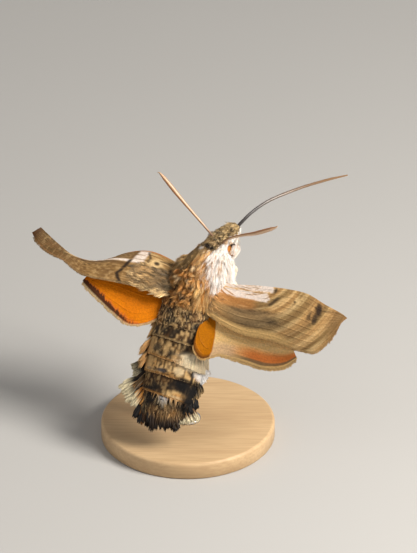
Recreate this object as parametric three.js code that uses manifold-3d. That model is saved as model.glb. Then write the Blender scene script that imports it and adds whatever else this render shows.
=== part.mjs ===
// A hummingbird hawk moth, life size, hovering above a plain display stand.
// Millimetres, +Z up. The origin is the middle of the bottom of the whole model.
import * as THREE from 'three';
import { mergeVertices } from 'three/addons/utils/BufferGeometryUtils.js';
import Module from 'manifold-3d';

const wasm = await Module();
wasm.setup();

// The moth is set out in a frame that leans back with its back, in millimetres from the middle of the
// thorax: x to the right, y up along the back, z straight out from the back.
const LEAN_BACK = 60;
const GAP = 0.3;
const at = (x, y, z) => new THREE.Vector3(x, y, z);
const OUTWARD = at(0, 0, 1);

// The line through the middle of the body, from the front of the head to the tip of the tail.
const BODY_LINE = new THREE.CatmullRomCurve3([
  at(5.16, 8.15, -0.3),
  at(3.56, 6.44, 0.0),
  at(0.82, 1.78, 0.1),
  at(-1.37, -3.42, 0.0),
  at(-2.60, -7.95, 0.0),
  at(-3.45, -11.78, 0.1),
  at(-4.60, -16.03, 0.2),
  at(-5.50, -19.80, 0.2),
], false, 'centripetal');

// Body sections: place along the line from 0 to 1, half width, half depth, and roll in degrees, which
// turns the back to the left and the right flank outward.
const SECTIONS = [
  [0.000, 0.80, 0.70, 42],
  [0.030, 1.45, 1.15, 42],
  [0.070, 2.00, 1.70, 42],
  [0.110, 2.30, 2.10, 41],
  [0.150, 2.75, 2.55, 40],
  [0.200, 3.65, 3.25, 38],
  [0.260, 4.25, 3.75, 36],
  [0.340, 4.45, 3.95, 32],
  [0.420, 4.35, 3.75, 27],
  [0.500, 4.40, 3.40, 22],
  [0.600, 4.60, 3.20, 18],
  [0.720, 4.50, 2.80, 14],
  [0.860, 3.90, 1.90, 12],
  [1.000, 3.20, 0.90, 10],
];
const NECK = 0.164;
const WAIST = 0.470;
const TAIL_ROOT = 0.860;
const TAIL_CORE_END = 0.935;
const BODY_LENGTH = BODY_LINE.getLength();
const ROUND_STEPS = 24;

// Rings of the abdomen: each ends in a raised edge of scales and steps in to the next.
const RING_EDGES = [0.530, 0.585, 0.690, 0.750, 0.840];
const RING_STEP = 0.22;
const RING_EDGE_WIDTH = 0.002;

const EYE = { along: 0.110, side: 1.92, up: -0.30, radii: [0.78, 0.98, 1.12], tilt: 24 };

const TUBE_STEPS = { antenna: 8, proboscis: 14, leg: 8 };

const COLOURS = {
  fur: 0x8a7a64,
  darkFur: 0x5a4a3a,
  wing: 0x8d7760,
  orange: 0xd9801e,
  horn: 0x9a6b4c,
  tongue: 0x4a3a3c,
  eye: 0x3a2416,
  leg: 0xb8a184,
  wood: 0xd8c3a0,
  steel: 0xa8a8a6,
};

const moth = new THREE.Group();
moth.rotation.x = THREE.MathUtils.degToRad(LEAN_BACK);
const stand = new THREE.Group();
const group = new THREE.Group();
group.add(moth, stand);

// Shapes

function between(table, place, column) {
  let row = 1;
  while (row < table.length - 1 && table[row][0] < place) row += 1;
  const [low, high] = [table[row - 1], table[row]];
  const share = THREE.MathUtils.clamp((place - low[0]) / (high[0] - low[0]), 0, 1);
  return THREE.MathUtils.lerp(low[column], high[column], share);
}

// A smooth value from the body sections: the mean over a short stretch rounds the table's corners.
function section(place, column) {
  const reach = 0.02;
  const samples = [-1, -0.5, 0, 0.5, 1];
  const sum = samples.reduce((total, step) => total + between(SECTIONS, place + step * reach, column), 0);
  return sum / samples.length;
}

// The directions at a place on the body line: forward, back (dorsal) and right.
function bodyFrame(place) {
  const share = THREE.MathUtils.clamp(place, 0, 1);
  const centre = BODY_LINE.getPointAt(share);
  const forward = BODY_LINE.getTangentAt(share).negate();
  const level = OUTWARD.clone().addScaledVector(forward, -OUTWARD.dot(forward)).normalize();
  const left = level.clone().cross(forward);
  const roll = THREE.MathUtils.degToRad(section(share, 3));
  const dorsal = level.multiplyScalar(Math.cos(roll)).addScaledVector(left, Math.sin(roll));
  const right = forward.clone().cross(dorsal);
  return { centre, forward, dorsal, right };
}

// A point given by its place along the body, and millimetres to the right, to the back and forward. A place
// beyond an end of the line goes straight on.
function onBody(place, side, up, ahead = 0) {
  const { centre, forward, dorsal, right } = bodyFrame(place);
  const beyond = (THREE.MathUtils.clamp(place, 0, 1) - place) * BODY_LENGTH;
  return centre.clone()
    .addScaledVector(right, side)
    .addScaledVector(dorsal, up)
    .addScaledVector(forward, ahead + beyond);
}

function ringStep(place) {
  const behind = RING_EDGES.filter((edge) => edge <= place);
  if (behind.length === 0 || place >= TAIL_ROOT) return 0;
  const start = behind[behind.length - 1];
  const end = RING_EDGES[behind.length] ?? TAIL_ROOT;
  return -RING_STEP * (1 - (place - start) / (end - start));
}

// Signed volume of a closed indexed surface: it is negative when the faces point inwards.
function signedVolume(vertices, faces) {
  let six = 0;
  for (let i = 0; i < faces.length; i += 3) {
    const [a, b, c] = [vertices[faces[i]], vertices[faces[i + 1]], vertices[faces[i + 2]]];
    six += a.dot(b.clone().cross(c));
  }
  return six / 6;
}

function surface(vertices, faces) {
  const turned = signedVolume(vertices, faces) < 0;
  const ordered = [];
  for (let i = 0; i < faces.length; i += 3) {
    const [a, b, c] = [faces[i], faces[i + 1], faces[i + 2]];
    ordered.push(...(turned ? [a, c, b] : [a, b, c]));
  }
  const numbers = vertices.flatMap((vertex) => vertex.toArray());
  const geometry = new THREE.BufferGeometry();
  geometry.setAttribute('position', new THREE.Float32BufferAttribute(numbers, 3));
  geometry.setIndex(ordered);
  return geometry;
}

// A closed body through rings of points, with a point at each end.
function loft(rings, first, last) {
  const count = rings[0].length;
  const vertices = [first, ...rings.flat(), last];
  const faces = [];
  const index = (ring, step) => 1 + ring * count + (step % count);
  for (let step = 0; step < count; step += 1) {
    faces.push(0, index(0, step + 1), index(0, step));
    faces.push(vertices.length - 1, index(rings.length - 1, step), index(rings.length - 1, step + 1));
  }
  for (let ring = 0; ring < rings.length - 1; ring += 1) {
    for (let step = 0; step < count; step += 1) {
      const [a, b] = [index(ring, step), index(ring, step + 1)];
      const [c, d] = [index(ring + 1, step), index(ring + 1, step + 1)];
      faces.push(a, b, d, a, d, c);
    }
  }
  return surface(vertices, faces);
}

// A named length of the body as a solid, grown by a margin where it is used for cutting.
function bodyLength(name, grow = 0) {
  const { steps, nose } = LENGTHS[name];
  const from = LENGTHS[name].from - grow / BODY_LENGTH;
  const to = LENGTHS[name].to + grow / BODY_LENGTH;
  const places = [];
  for (let i = 0; i <= steps; i += 1) places.push(THREE.MathUtils.lerp(from, to, i / steps));
  RING_EDGES.filter((edge) => edge > from && edge < to)
    .forEach((edge) => places.push(edge - RING_EDGE_WIDTH, edge));
  places.sort((a, b) => a - b);
  const rings = places.map((place) => {
    const step = grow > 0 ? 0 : ringStep(place);
    const width = section(place, 1) + step + grow;
    const depth = section(place, 2) + step + grow;
    const ring = [];
    for (let side = 0; side < ROUND_STEPS; side += 1) {
      const turn = (2 * Math.PI * side) / ROUND_STEPS;
      ring.push(onBody(place, width * Math.cos(turn), depth * Math.sin(turn)));
    }
    return ring;
  });
  return toSolid(loft(rings, onBody(from, 0, 0, nose), onBody(to, 0, 0)));
}

// A round tapering tube along a smooth curve through the points, with a short point at its far end.
const TIP_LENGTH = 0.1;

function tube(points, radii, steps, sides) {
  const curve = new THREE.CatmullRomCurve3(points, false, 'centripetal');
  const frames = curve.computeFrenetFrames(steps, false);
  const rings = [];
  for (let i = 0; i <= steps; i += 1) {
    const share = i / steps;
    const centre = curve.getPointAt(share);
    const radius = between(radii, share, 1);
    const ring = [];
    for (let step = 0; step < sides; step += 1) {
      const turn = (2 * Math.PI * step) / sides;
      ring.push(centre.clone()
        .addScaledVector(frames.normals[i], radius * Math.cos(turn))
        .addScaledVector(frames.binormals[i], radius * Math.sin(turn)));
    }
    rings.push(ring);
  }
  const tip = curve.getPointAt(1).addScaledVector(frames.tangents[steps], TIP_LENGTH);
  return loft(rings, curve.getPointAt(0), tip);
}

// Solids

function toSolid(geometry) {
  const bare = geometry.index ? geometry.clone() : geometry;
  bare.deleteAttribute('normal');
  bare.deleteAttribute('uv');
  const merged = mergeVertices(bare);
  const vertProperties = new Float32Array(merged.attributes.position.array);
  const triVerts = new Uint32Array(merged.index.array);
  return new wasm.Manifold(new wasm.Mesh({ numProp: 3, vertProperties, triVerts }));
}

function toGeometry(solid) {
  const mesh = solid.getMesh();
  const geometry = new THREE.BufferGeometry();
  geometry.setAttribute('position', new THREE.Float32BufferAttribute(mesh.vertProperties, 3));
  geometry.setIndex(new THREE.Uint32BufferAttribute(mesh.triVerts, 1));
  return geometry;
}

// The largest closed surface of a solid: small scraps and sealed hollows are dropped.
function largest(solid) {
  const pieces = solid.decompose();
  return pieces.reduce((best, piece) => (piece.volume() > best.volume() ? piece : best));
}

const union = (solids) => wasm.Manifold.union(solids);

function cutBy(geometry, cutters) {
  const solid = cutters.reduce((rest, cutter) => rest.subtract(cutter), toSolid(geometry));
  return toGeometry(largest(solid));
}

function add(parent, name, geometry, colour, roughness = 0.8, metalness = 0) {
  geometry.computeVertexNormals();
  const material = new THREE.MeshStandardMaterial({ color: colour, roughness, metalness });
  const mesh = new THREE.Mesh(geometry, material);
  mesh.name = name;
  parent.add(mesh);
  return mesh;
}

// Body

// The body is one smooth form, parted at the neck, the waist and the tail. Each length can be grown by a
// margin, to cut what grows from it to a face that follows its surface.
const GAP_SHARE = GAP / BODY_LENGTH;
const LENGTHS = {
  head: { from: 0, to: NECK - GAP_SHARE, steps: 8, nose: 0.5 },
  thorax: { from: NECK, to: WAIST - GAP_SHARE, steps: 11, nose: 0 },
  abdomen: { from: WAIST, to: TAIL_ROOT - GAP_SHARE, steps: 8, nose: 0 },
  tail: { from: TAIL_ROOT, to: TAIL_CORE_END, steps: 3, nose: 0 },
};
const grownAbdomen = bodyLength('abdomen', GAP);

function ellipsoid(radii, wide, high) {
  return new THREE.SphereGeometry(1, wide, high).scale(...radii);
}

function eyeball(side, grow = 0) {
  const { forward, dorsal, right } = bodyFrame(EYE.along);
  const centre = onBody(EYE.along, side * EYE.side, EYE.up);
  const turn = new THREE.Matrix4().makeBasis(right, forward, dorsal);
  const geometry = ellipsoid(EYE.radii.map((radius) => radius + grow), 14, 10);
  geometry.rotateZ(-side * THREE.MathUtils.degToRad(EYE.tilt));
  geometry.applyMatrix4(turn.setPosition(centre));
  return geometry;
}

// The palps are a pair of blunt furry feelers under the front of the head, on both sides of the tongue.
const PALP = { along: 0.026, side: 0.52, below: 0.55, radii: [0.55, 1.15, 0.55] };

function palp(side, grow = 0) {
  const { forward, dorsal, right } = bodyFrame(PALP.along);
  const centre = onBody(PALP.along, side * PALP.side, -PALP.below);
  const turn = new THREE.Matrix4().makeBasis(right, forward, dorsal).setPosition(centre);
  return toSolid(ellipsoid(PALP.radii.map((radius) => radius + grow), 10, 8).applyMatrix4(turn));
}

const eyeSockets = [-1, 1].map((side) => toSolid(eyeball(side, GAP)));
const grownHead = union([bodyLength('head', GAP), palp(-1, GAP), palp(1, GAP)]);
const face = union([bodyLength('head'), palp(-1), palp(1)]);
const head = eyeSockets.reduce((rest, socket) => rest.subtract(socket), face);
add(moth, 'head', toGeometry(largest(head)), COLOURS.fur);
add(moth, 'eye_left', eyeball(-1), COLOURS.eye, 0.2);
add(moth, 'eye_right', eyeball(1), COLOURS.eye, 0.2);

// Locks of long scales

// Every draw comes from one seeded row of numbers, so that the model is the same each time.
let seed = 7;
function draw(low, high) {
  seed = (seed * 16807) % 2147483647;
  return low + (high - low) * (seed / 2147483647);
}

// A lock is flat and bends as it tapers. Each row gives the share of its length, width and thickness. Its
// section is a diamond, whose corners move further out than its faces when it grows.
const LOCK_PROFILE = [[0, 0.85, 0.9], [0.42, 1, 1], [0.82, 0.58, 0.75]];
const CORNER_GROWTH = 1.5;
const LOCK_ROOT = -0.02;

function lock({ root, direction, normal, length, width, thickness, curl = 0 }, grow = 0) {
  const along = direction.clone().normalize();
  const flat = normal.clone().addScaledVector(along, -normal.dot(along)).normalize();
  const side = along.clone().cross(flat);
  const spine = (share) => root.clone()
    .addScaledVector(along, length * share)
    .addScaledVector(flat, curl * length * share * share);
  const rings = LOCK_PROFILE.map(([share, wide, thick]) => {
    const across = 0.5 * width * wide + CORNER_GROWTH * grow;
    const up = 0.5 * thickness * thick + CORNER_GROWTH * grow;
    const centre = spine(share);
    return [
      centre.clone().addScaledVector(side, across),
      centre.clone().addScaledVector(flat, up),
      centre.clone().addScaledVector(side, -across),
      centre.clone().addScaledVector(flat, -up),
    ];
  });
  const tip = spine(1).addScaledVector(along, CORNER_GROWTH * grow);
  return toSolid(loft(rings, spine(LOCK_ROOT), tip));
}

// A lock that grows from the body's surface: its place along the body, its turn round the body (0 right,
// 90 back, 180 left), how deep its root lies, and how far it splays outward and sideways from the tail's way.
function bodyLock({ place, turn, depth, splay, sway = 0, length, width, thickness = 0.6, curl = 0 }) {
  const { forward, dorsal, right } = bodyFrame(place);
  const angle = THREE.MathUtils.degToRad(turn);
  const normal = right.clone().multiplyScalar(Math.cos(angle)).addScaledVector(dorsal, Math.sin(angle));
  const round = right.clone().multiplyScalar(-Math.sin(angle)).addScaledVector(dorsal, Math.cos(angle));
  const [wide, deep] = [section(place, 1), section(place, 2)];
  const root = onBody(place, (wide - depth) * Math.cos(angle), (deep - depth) * Math.sin(angle));
  const direction = forward.clone().negate().addScaledVector(normal, splay).addScaledVector(round, sway);
  return { root, direction, normal, length, width, thickness, curl };
}

function joined(core, locks) {
  return toGeometry(largest(union([core, ...locks])));
}

// A row of locks round a stretch of the body, from one turn to another, each a little different.
function lockRow({ place, from, to, count, depth, splay, length, width, curl = 0 }) {
  const locks = [];
  for (let i = 0; i < count; i += 1) {
    locks.push(bodyLock({
      place: place + draw(-0.005, 0.005),
      turn: THREE.MathUtils.lerp(from, to, i / (count - 1)),
      depth,
      splay: splay * draw(0.85, 1.15),
      sway: draw(-0.10, 0.10),
      length: length * draw(0.85, 1.1),
      width,
      curl,
    }));
  }
  return locks;
}

// The back of the thorax ends in a fringe of long fur, which lies over the first ring of the abdomen.
const FRINGE_DEPTH = 0.66;
const FRINGES = [
  { place: 0.335, from: 60, to: 114, count: 5, splay: 0.28, length: 4.3, width: 1.7, curl: -0.08 },
  { place: 0.390, from: 50, to: 118, count: 7, splay: 0.32, length: 4.2, width: 1.6, curl: -0.06 },
];
const fringeLocks = FRINGES.flatMap((row) => lockRow({ ...row, depth: FRINGE_DEPTH }));
const clearFringe = fringeLocks.map((spec) => lock(spec).subtract(grownAbdomen));
add(moth, 'thorax', joined(bodyLength('thorax'), clearFringe), COLOURS.fur);
const grownThorax = union([bodyLength('thorax', GAP), ...fringeLocks.map((spec) => lock(spec, GAP))]);

// Tufts stand out from both sides of the abdomen at the rear edges of its rings. Each is a flat fan of locks
// in two layers, which turn from outward to tailward: left ones first, then right ones. The angles are
// measured from the way to the tail.
const TUFTS = [
  { side: -1, from: 0.630, to: 0.665, count: 3, outward: 60, tailward: 28, length: 2.5 },
  { side: -1, from: 0.685, to: 0.720, count: 4, outward: 68, tailward: 26, length: 3.2 },
  { side: -1, from: 0.765, to: 0.815, count: 5, outward: 60, tailward: 16, length: 4.3 },
  { side: 1, from: 0.630, to: 0.660, count: 3, outward: 40, tailward: 20, length: 2.3 },
  { side: 1, from: 0.675, to: 0.715, count: 4, outward: 44, tailward: 14, length: 2.8 },
  { side: 1, from: 0.770, to: 0.805, count: 3, outward: 36, tailward: 12, length: 2.7 },
];
const TUFT = { width: 1.45, thickness: 0.62, depth: 0.9, layer: 0.42 };

function tuftFan({ side, from, to, count, outward, tailward, length }) {
  const locks = [];
  [1, -1].forEach((layer) => {
    for (let i = 0; i < count; i += 1) {
      const share = (i + 0.25 * layer) / (count - 1);
      const place = THREE.MathUtils.lerp(from, to, share);
      const { forward, dorsal, right } = bodyFrame(place);
      const angle = THREE.MathUtils.degToRad(THREE.MathUtils.lerp(outward, tailward, share) + draw(-4, 4));
      const direction = forward.clone().multiplyScalar(-Math.cos(angle))
        .addScaledVector(right, side * Math.sin(angle))
        .addScaledVector(dorsal, 0.12 * layer);
      locks.push({
        root: onBody(place, side * (section(place, 1) - TUFT.depth), layer * TUFT.layer),
        direction,
        normal: dorsal,
        length: length * draw(0.86, 1.06),
        width: TUFT.width,
        thickness: TUFT.thickness,
      });
    }
  });
  return locks;
}

// The tail is a flat fan of overlapping vanes in three tiers, short ones above and below the long ones.
// The fan is steered to the right, and its right side is the shorter one.
const TAIL_TIERS = [
  { place: 0.885, height: 0.70, count: 8, reach: 2.8, length: 3.0, rise: 0.10 },
  { place: 0.905, height: 0.00, count: 9, reach: 2.7, length: 3.7, rise: 0 },
  { place: 0.885, height: -0.70, count: 8, reach: 2.8, length: 2.9, rise: -0.10 },
];
const TAIL_VANE = { width: 1.6, thickness: 0.6 };
const TAIL_STEER = 12;
const TAIL_FAN = 14;
const TAIL_ROUNDING = 0.9;

function tailTier({ place, height, count, reach, length, rise }) {
  const { forward, dorsal, right } = bodyFrame(place);
  const tier = [];
  for (let i = 0; i < count; i += 1) {
    const across = THREE.MathUtils.lerp(-1, 1, i / (count - 1));
    const angle = THREE.MathUtils.degToRad(TAIL_STEER + TAIL_FAN * across);
    const direction = forward.clone().multiplyScalar(-Math.cos(angle))
      .addScaledVector(right, Math.sin(angle))
      .addScaledVector(dorsal, rise);
    tier.push({
      root: onBody(place, reach * across, height * Math.sqrt(1 - (TAIL_ROUNDING * across) ** 2)),
      direction,
      normal: dorsal,
      length: length * (1 - 0.10 * across ** 2 - 0.16 * across) * draw(0.92, 1.06),
      ...TAIL_VANE,
    });
  }
  return tier;
}

// Pale tufts stand at both sides of the fan.
const TAIL_TUFTS = [
  { side: -1, from: 0.880, to: 0.900, count: 3, outward: 18, tailward: 2, length: 3.2 },
  { side: 1, from: 0.875, to: 0.900, count: 4, outward: 46, tailward: 20, length: 2.8 },
];
const abdomenLocks = TUFTS.flatMap(tuftFan);
const tailLocks = [...TAIL_TIERS.flatMap(tailTier), ...TAIL_TUFTS.flatMap(tuftFan)];
const clearTail = tailLocks.map((spec) => lock(spec).subtract(grownAbdomen));
add(moth, 'tail_fan', joined(bodyLength('tail'), clearTail), COLOURS.darkFur);

// The abdomen's tufts are cut clear of the tail fan.
const grownTail = union([bodyLength('tail', GAP), ...tailLocks.map((spec) => lock(spec, GAP))]);
const clearTufts = abdomenLocks.map((spec) => lock(spec).subtract(grownTail));
add(moth, 'abdomen', joined(bodyLength('abdomen'), clearTufts), COLOURS.darkFur);

// Wings

// A wing is a thin sheet between a leading and a trailing edge, with both faces split alike and its main
// veins raised in them.
const WING_HALF = 0.27;
const VEIN_HEIGHT = 0.14;
const VEIN_HALF_WIDTH = 0.016;
const CELL_END = 0.5;
const FORE_VEINS = [
  { place: 0.06, from: 0 },
  { place: 0.15, from: 0 },
  { place: 0.25, from: 0.36 },
  { place: 0.35, from: CELL_END },
  { place: 0.46, from: CELL_END },
  { place: 0.57, from: CELL_END },
  { place: 0.68, from: 0 },
  { place: 0.80, from: 0.28 },
  { place: 0.91, from: 0 },
];
const HIND_VEINS = [
  { place: 0.12, from: 0 },
  { place: 0.27, from: 0 },
  { place: 0.42, from: CELL_END },
  { place: 0.57, from: CELL_END },
  { place: 0.72, from: 0 },
  { place: 0.88, from: 0 },
];

function wing({ leading, trailing, veins, camber, crest, ribs }) {
  const front = new THREE.CatmullRomCurve3(leading, false, 'centripetal');
  const rear = new THREE.CatmullRomCurve3(trailing, false, 'centripetal');
  const columns = [0];
  veins.forEach(({ place }) => columns.push(place - VEIN_HALF_WIDTH, place, place + VEIN_HALF_WIDTH));
  columns.push(1);
  const top = [];
  const bottom = [];
  const middle = (along, across) => {
    const [start, end] = [front.getPointAt(along), rear.getPointAt(along)];
    const chord = end.clone().sub(start);
    const span = front.getTangentAt(along).add(rear.getTangentAt(along)).normalize();
    const normal = span.cross(chord).normalize();
    if (normal.dot(OUTWARD) < 0) normal.negate();
    const rise = camber * chord.length() * Math.sin(Math.PI * across ** crest);
    return start.lerp(end, across).addScaledVector(normal, rise);
  };
  for (let rib = 0; rib <= ribs; rib += 1) {
    const along = rib / ribs;
    columns.forEach((across, column) => {
      const step = 0.01;
      const [left, right] = [Math.max(along - step, 0), Math.min(along + step, 1)];
      const [ahead, behind] = [Math.max(across - step, 0), Math.min(across + step, 1)];
      const down = middle(right, across).sub(middle(left, across));
      const over = middle(along, behind).sub(middle(along, ahead));
      const normal = down.cross(over).normalize();
      if (normal.dot(OUTWARD) < 0) normal.negate();
      const vein = veins.find(({ place }) => place === across);
      const height = vein && along >= vein.from && rib > 0 && rib < ribs ? VEIN_HEIGHT : 0;
      const point = middle(along, across);
      top.push(point.clone().addScaledVector(normal, WING_HALF + height));
      bottom.push(point.clone().addScaledVector(normal, -WING_HALF - height));
    });
  }
  const count = columns.length;
  const under = top.length;
  const index = (rib, column) => rib * count + column;
  const faces = [];
  for (let rib = 0; rib < ribs; rib += 1) {
    for (let column = 0; column < count - 1; column += 1) {
      const [a, b] = [index(rib, column), index(rib, column + 1)];
      const [c, d] = [index(rib + 1, column), index(rib + 1, column + 1)];
      faces.push(a, b, d, a, d, c);
      faces.push(under + a, under + d, under + b, under + a, under + c, under + d);
    }
  }
  const rim = [];
  for (let column = 0; column < count; column += 1) rim.push(index(0, column));
  for (let rib = 1; rib <= ribs; rib += 1) rim.push(index(rib, count - 1));
  for (let column = count - 2; column >= 0; column -= 1) rim.push(index(ribs, column));
  for (let rib = ribs - 1; rib > 0; rib -= 1) rim.push(index(rib, 0));
  rim.forEach((a, i) => {
    const b = rim[(i + 1) % rim.length];
    faces.push(a, under + b, b, a, under + a, under + b);
  });
  return surface([...top, ...bottom], faces);
}

const foreLeft = wing({
  leading: [
    at(-1.60, 1.90, -1.00), at(-4.00, 3.50, -2.20), at(-7.00, 4.66, -3.60), at(-10.14, 4.42, -4.90),
    at(-13.34, 3.25, -5.70), at(-16.70, 3.55, -5.60), at(-19.40, 5.60, -4.90), at(-21.90, 7.95, -3.90),
  ],
  trailing: [
    at(-3.20, -1.60, 1.20), at(-5.90, -1.10, 1.70), at(-8.50, -0.35, 1.80), at(-11.23, 0.30, 1.70),
    at(-14.86, 1.00, 1.20), at(-16.64, 1.65, 0.40), at(-18.70, 3.35, -1.00), at(-20.96, 4.55, -2.20),
    at(-22.85, 6.40, -3.20), at(-22.80, 7.50, -3.60),
  ],
  veins: FORE_VEINS, camber: 0.13, crest: 1.25, ribs: 12,
});
const foreRight = wing({
  leading: [
    at(1.60, 0.90, 1.40), at(3.84, 0.20, 2.70), at(8.22, -0.10, 5.60), at(12.19, -0.60, 8.40),
    at(14.60, -1.20, 10.20), at(17.00, -2.65, 12.10), at(19.30, -3.95, 13.90), at(19.90, -4.45, 14.40),
  ],
  trailing: [
    at(0.20, -3.40, 2.60), at(2.20, -4.90, 4.20), at(5.48, -6.70, 6.20), at(9.60, -7.60, 9.00),
    at(13.20, -8.90, 11.60), at(15.50, -9.20, 13.00), at(17.20, -7.80, 14.00), at(18.70, -5.90, 14.60),
  ],
  veins: FORE_VEINS, camber: 0.13, crest: 1.1, ribs: 12,
});
const hindLeft = wing({
  leading: [
    at(-2.60, -1.60, -0.90), at(-5.80, -0.60, -0.90), at(-9.50, 0.70, -0.70), at(-13.00, 1.25, -0.60),
    at(-15.60, 1.15, -0.60),
  ],
  trailing: [
    at(-3.50, -3.20, -0.20), at(-5.80, -4.50, 0.20), at(-7.60, -5.30, 0.30), at(-9.80, -5.40, 0.20),
    at(-12.00, -3.70, 0.00), at(-14.50, -1.20, -0.20), at(-16.10, 0.60, -0.30),
  ],
  veins: HIND_VEINS, camber: 0.06, crest: 1, ribs: 10,
});
const hindRight = wing({
  leading: [
    at(0.60, -3.00, 1.60), at(2.60, -4.60, 2.80), at(6.20, -6.10, 5.00), at(10.00, -7.20, 7.60),
    at(12.60, -8.40, 9.40),
  ],
  trailing: [
    at(-0.20, -5.40, 3.20), at(-0.90, -8.70, 3.90), at(0.10, -10.10, 4.00), at(2.20, -9.70, 4.50),
    at(5.50, -10.50, 6.00), at(9.00, -11.50, 8.00), at(11.50, -11.20, 9.20), at(13.20, -10.00, 9.80),
  ],
  veins: HIND_VEINS, camber: 0.06, crest: 1, ribs: 11,
});
const bodyCutters = [grownThorax, grownAbdomen];
add(moth, 'forewing_left', cutBy(foreLeft, bodyCutters), COLOURS.wing);
add(moth, 'forewing_right', cutBy(foreRight, bodyCutters), COLOURS.wing);
add(moth, 'hindwing_left', cutBy(hindLeft, bodyCutters), COLOURS.orange);
add(moth, 'hindwing_right', cutBy(hindRight, bodyCutters), COLOURS.orange);

// Feelers and tongue

const CLUB = [[0, 0.26], [0.45, 0.28], [0.78, 0.34], [0.93, 0.26], [1, 0.12]];
const antennaLeft = [
  at(2.20, 6.10, 0.60), at(1.00, 7.60, 1.10), at(-2.60, 11.80, 1.20), at(-5.55, 15.40, 1.00),
];
const antennaRight = [
  at(2.60, 5.20, 1.30), at(3.70, 6.20, 2.60), at(5.60, 6.75, 4.20), at(7.60, 7.05, 6.20),
  at(10.50, 7.85, 8.60),
];
[['antenna_left', antennaLeft], ['antenna_right', antennaRight]].forEach(([name, points]) => {
  add(moth, name, cutBy(tube(points, CLUB, TUBE_STEPS.antenna, 10), [grownHead]), COLOURS.horn, 0.4);
});

const tonguePoints = [
  at(4.40, 7.20, -0.30), at(5.90, 8.80, -0.50), at(7.15, 10.00, -0.90), at(9.35, 11.50, -1.80),
  at(13.25, 13.15, -3.80), at(17.20, 14.40, -7.00), at(20.40, 15.20, -11.00),
];
const TONGUE = [[0, 0.36], [0.3, 0.30], [0.8, 0.26], [1, 0.16]];
const tongue = tube(tonguePoints, TONGUE, TUBE_STEPS.proboscis, 10);
add(moth, 'proboscis', cutBy(tongue, [grownHead]), COLOURS.tongue, 0.5);

// Legs

// Each leg leaves the breast, folds at the knee and lies back under the body. Every point gives its
// distance behind the root in millimetres, and its distance to the side and below the body's middle.
const LEG_TAPER = [[0, 0.50], [0.3, 0.44], [0.6, 0.36], [1, 0.27]];
const LEGS = {
  front: { root: 0.200, path: [[0, 0.5, 2.4], [-0.6, 0.9, 4.2], [2.2, 0.9, 4.9], [5.6, 0.8, 5.3]] },
  mid: { root: 0.270, path: [[0, 1.4, 2.6], [-0.6, 2.2, 4.3], [2.8, 2.3, 4.8], [7.2, 2.1, 4.8]] },
  hind: { root: 0.345, path: [[0, 2.3, 2.4], [-0.4, 3.5, 3.9], [3.4, 3.6, 4.2], [8.8, 3.3, 4.0]] },
};

Object.entries(LEGS).forEach(([pair, { root, path }]) => {
  [['left', -1], ['right', 1]].forEach(([sideName, side]) => {
    const place = (behind) => root + behind / BODY_LENGTH;
    const points = path.map(([behind, out, below]) => onBody(place(behind), side * out, -below));
    const leg = tube(points, LEG_TAPER, TUBE_STEPS.leg, 8);
    add(moth, `leg_${pair}_${sideName}`, cutBy(leg, bodyCutters), COLOURS.leg);
  });
});

// Stand

const ROD_RADIUS = 1.0;
const ROD_PLACE = 0.600;
const BASE_RADIUS = 12;
const BASE_HEIGHT = 2.5;
const TAIL_CLEARANCE = 2.5;

group.updateMatrixWorld(true);
const lowest = new THREE.Box3().setFromObject(moth, true).min.z;
const baseTop = lowest - TAIL_CLEARANCE;
const belly = onBody(ROD_PLACE, 0, -section(ROD_PLACE, 2)).applyMatrix4(moth.matrixWorld);
const rodHeight = belly.z - baseTop + 2 * ROD_RADIUS;
const rod = new THREE.CylinderGeometry(ROD_RADIUS, ROD_RADIUS, rodHeight - GAP, 24).rotateX(Math.PI / 2);
rod.translate(belly.x, belly.y, baseTop + GAP + (rodHeight - GAP) / 2);
const abdomenCutter = grownAbdomen.transform(moth.matrixWorld.elements);
add(stand, 'stand_rod', cutBy(rod, [abdomenCutter]), COLOURS.steel, 0.3, 1);

const EDGE_ROUND = 0.5;
const baseProfile = [
  new THREE.Vector2(0, 0),
  new THREE.Vector2(BASE_RADIUS, 0),
  new THREE.Vector2(BASE_RADIUS, BASE_HEIGHT - EDGE_ROUND),
  new THREE.Vector2(BASE_RADIUS - EDGE_ROUND, BASE_HEIGHT),
  new THREE.Vector2(0, BASE_HEIGHT),
];
const base = new THREE.LatheGeometry(baseProfile, 48).rotateX(Math.PI / 2);
base.translate(belly.x, belly.y, baseTop - BASE_HEIGHT);
add(stand, 'stand_base', toGeometry(toSolid(base)), COLOURS.wood, 0.6);

// The whole model stands with the middle of its bottom at the origin.
group.updateMatrixWorld(true);
const bounds = new THREE.Box3().setFromObject(group, true);
const middle = bounds.getCenter(new THREE.Vector3());
group.position.set(-middle.x, -middle.y, -bounds.min.z);
group.updateMatrixWorld(true);

export default group;
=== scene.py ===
# %% [markdown]
# # A hummingbird hawk moth, hovering over a small stand
#
# The model is life size, about 44 mm across the wings. Its plain solids come packed, as the frame. This
# lesson dresses them: a skin under a coat of scales, thin veined wings, glossy eyes and ringed feelers.
# Every shape is worked out with numpy, in millimetres and in the moth's own frame, because that is where
# its parts are easy to name. Points become world metres only when a mesh is made.

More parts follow.
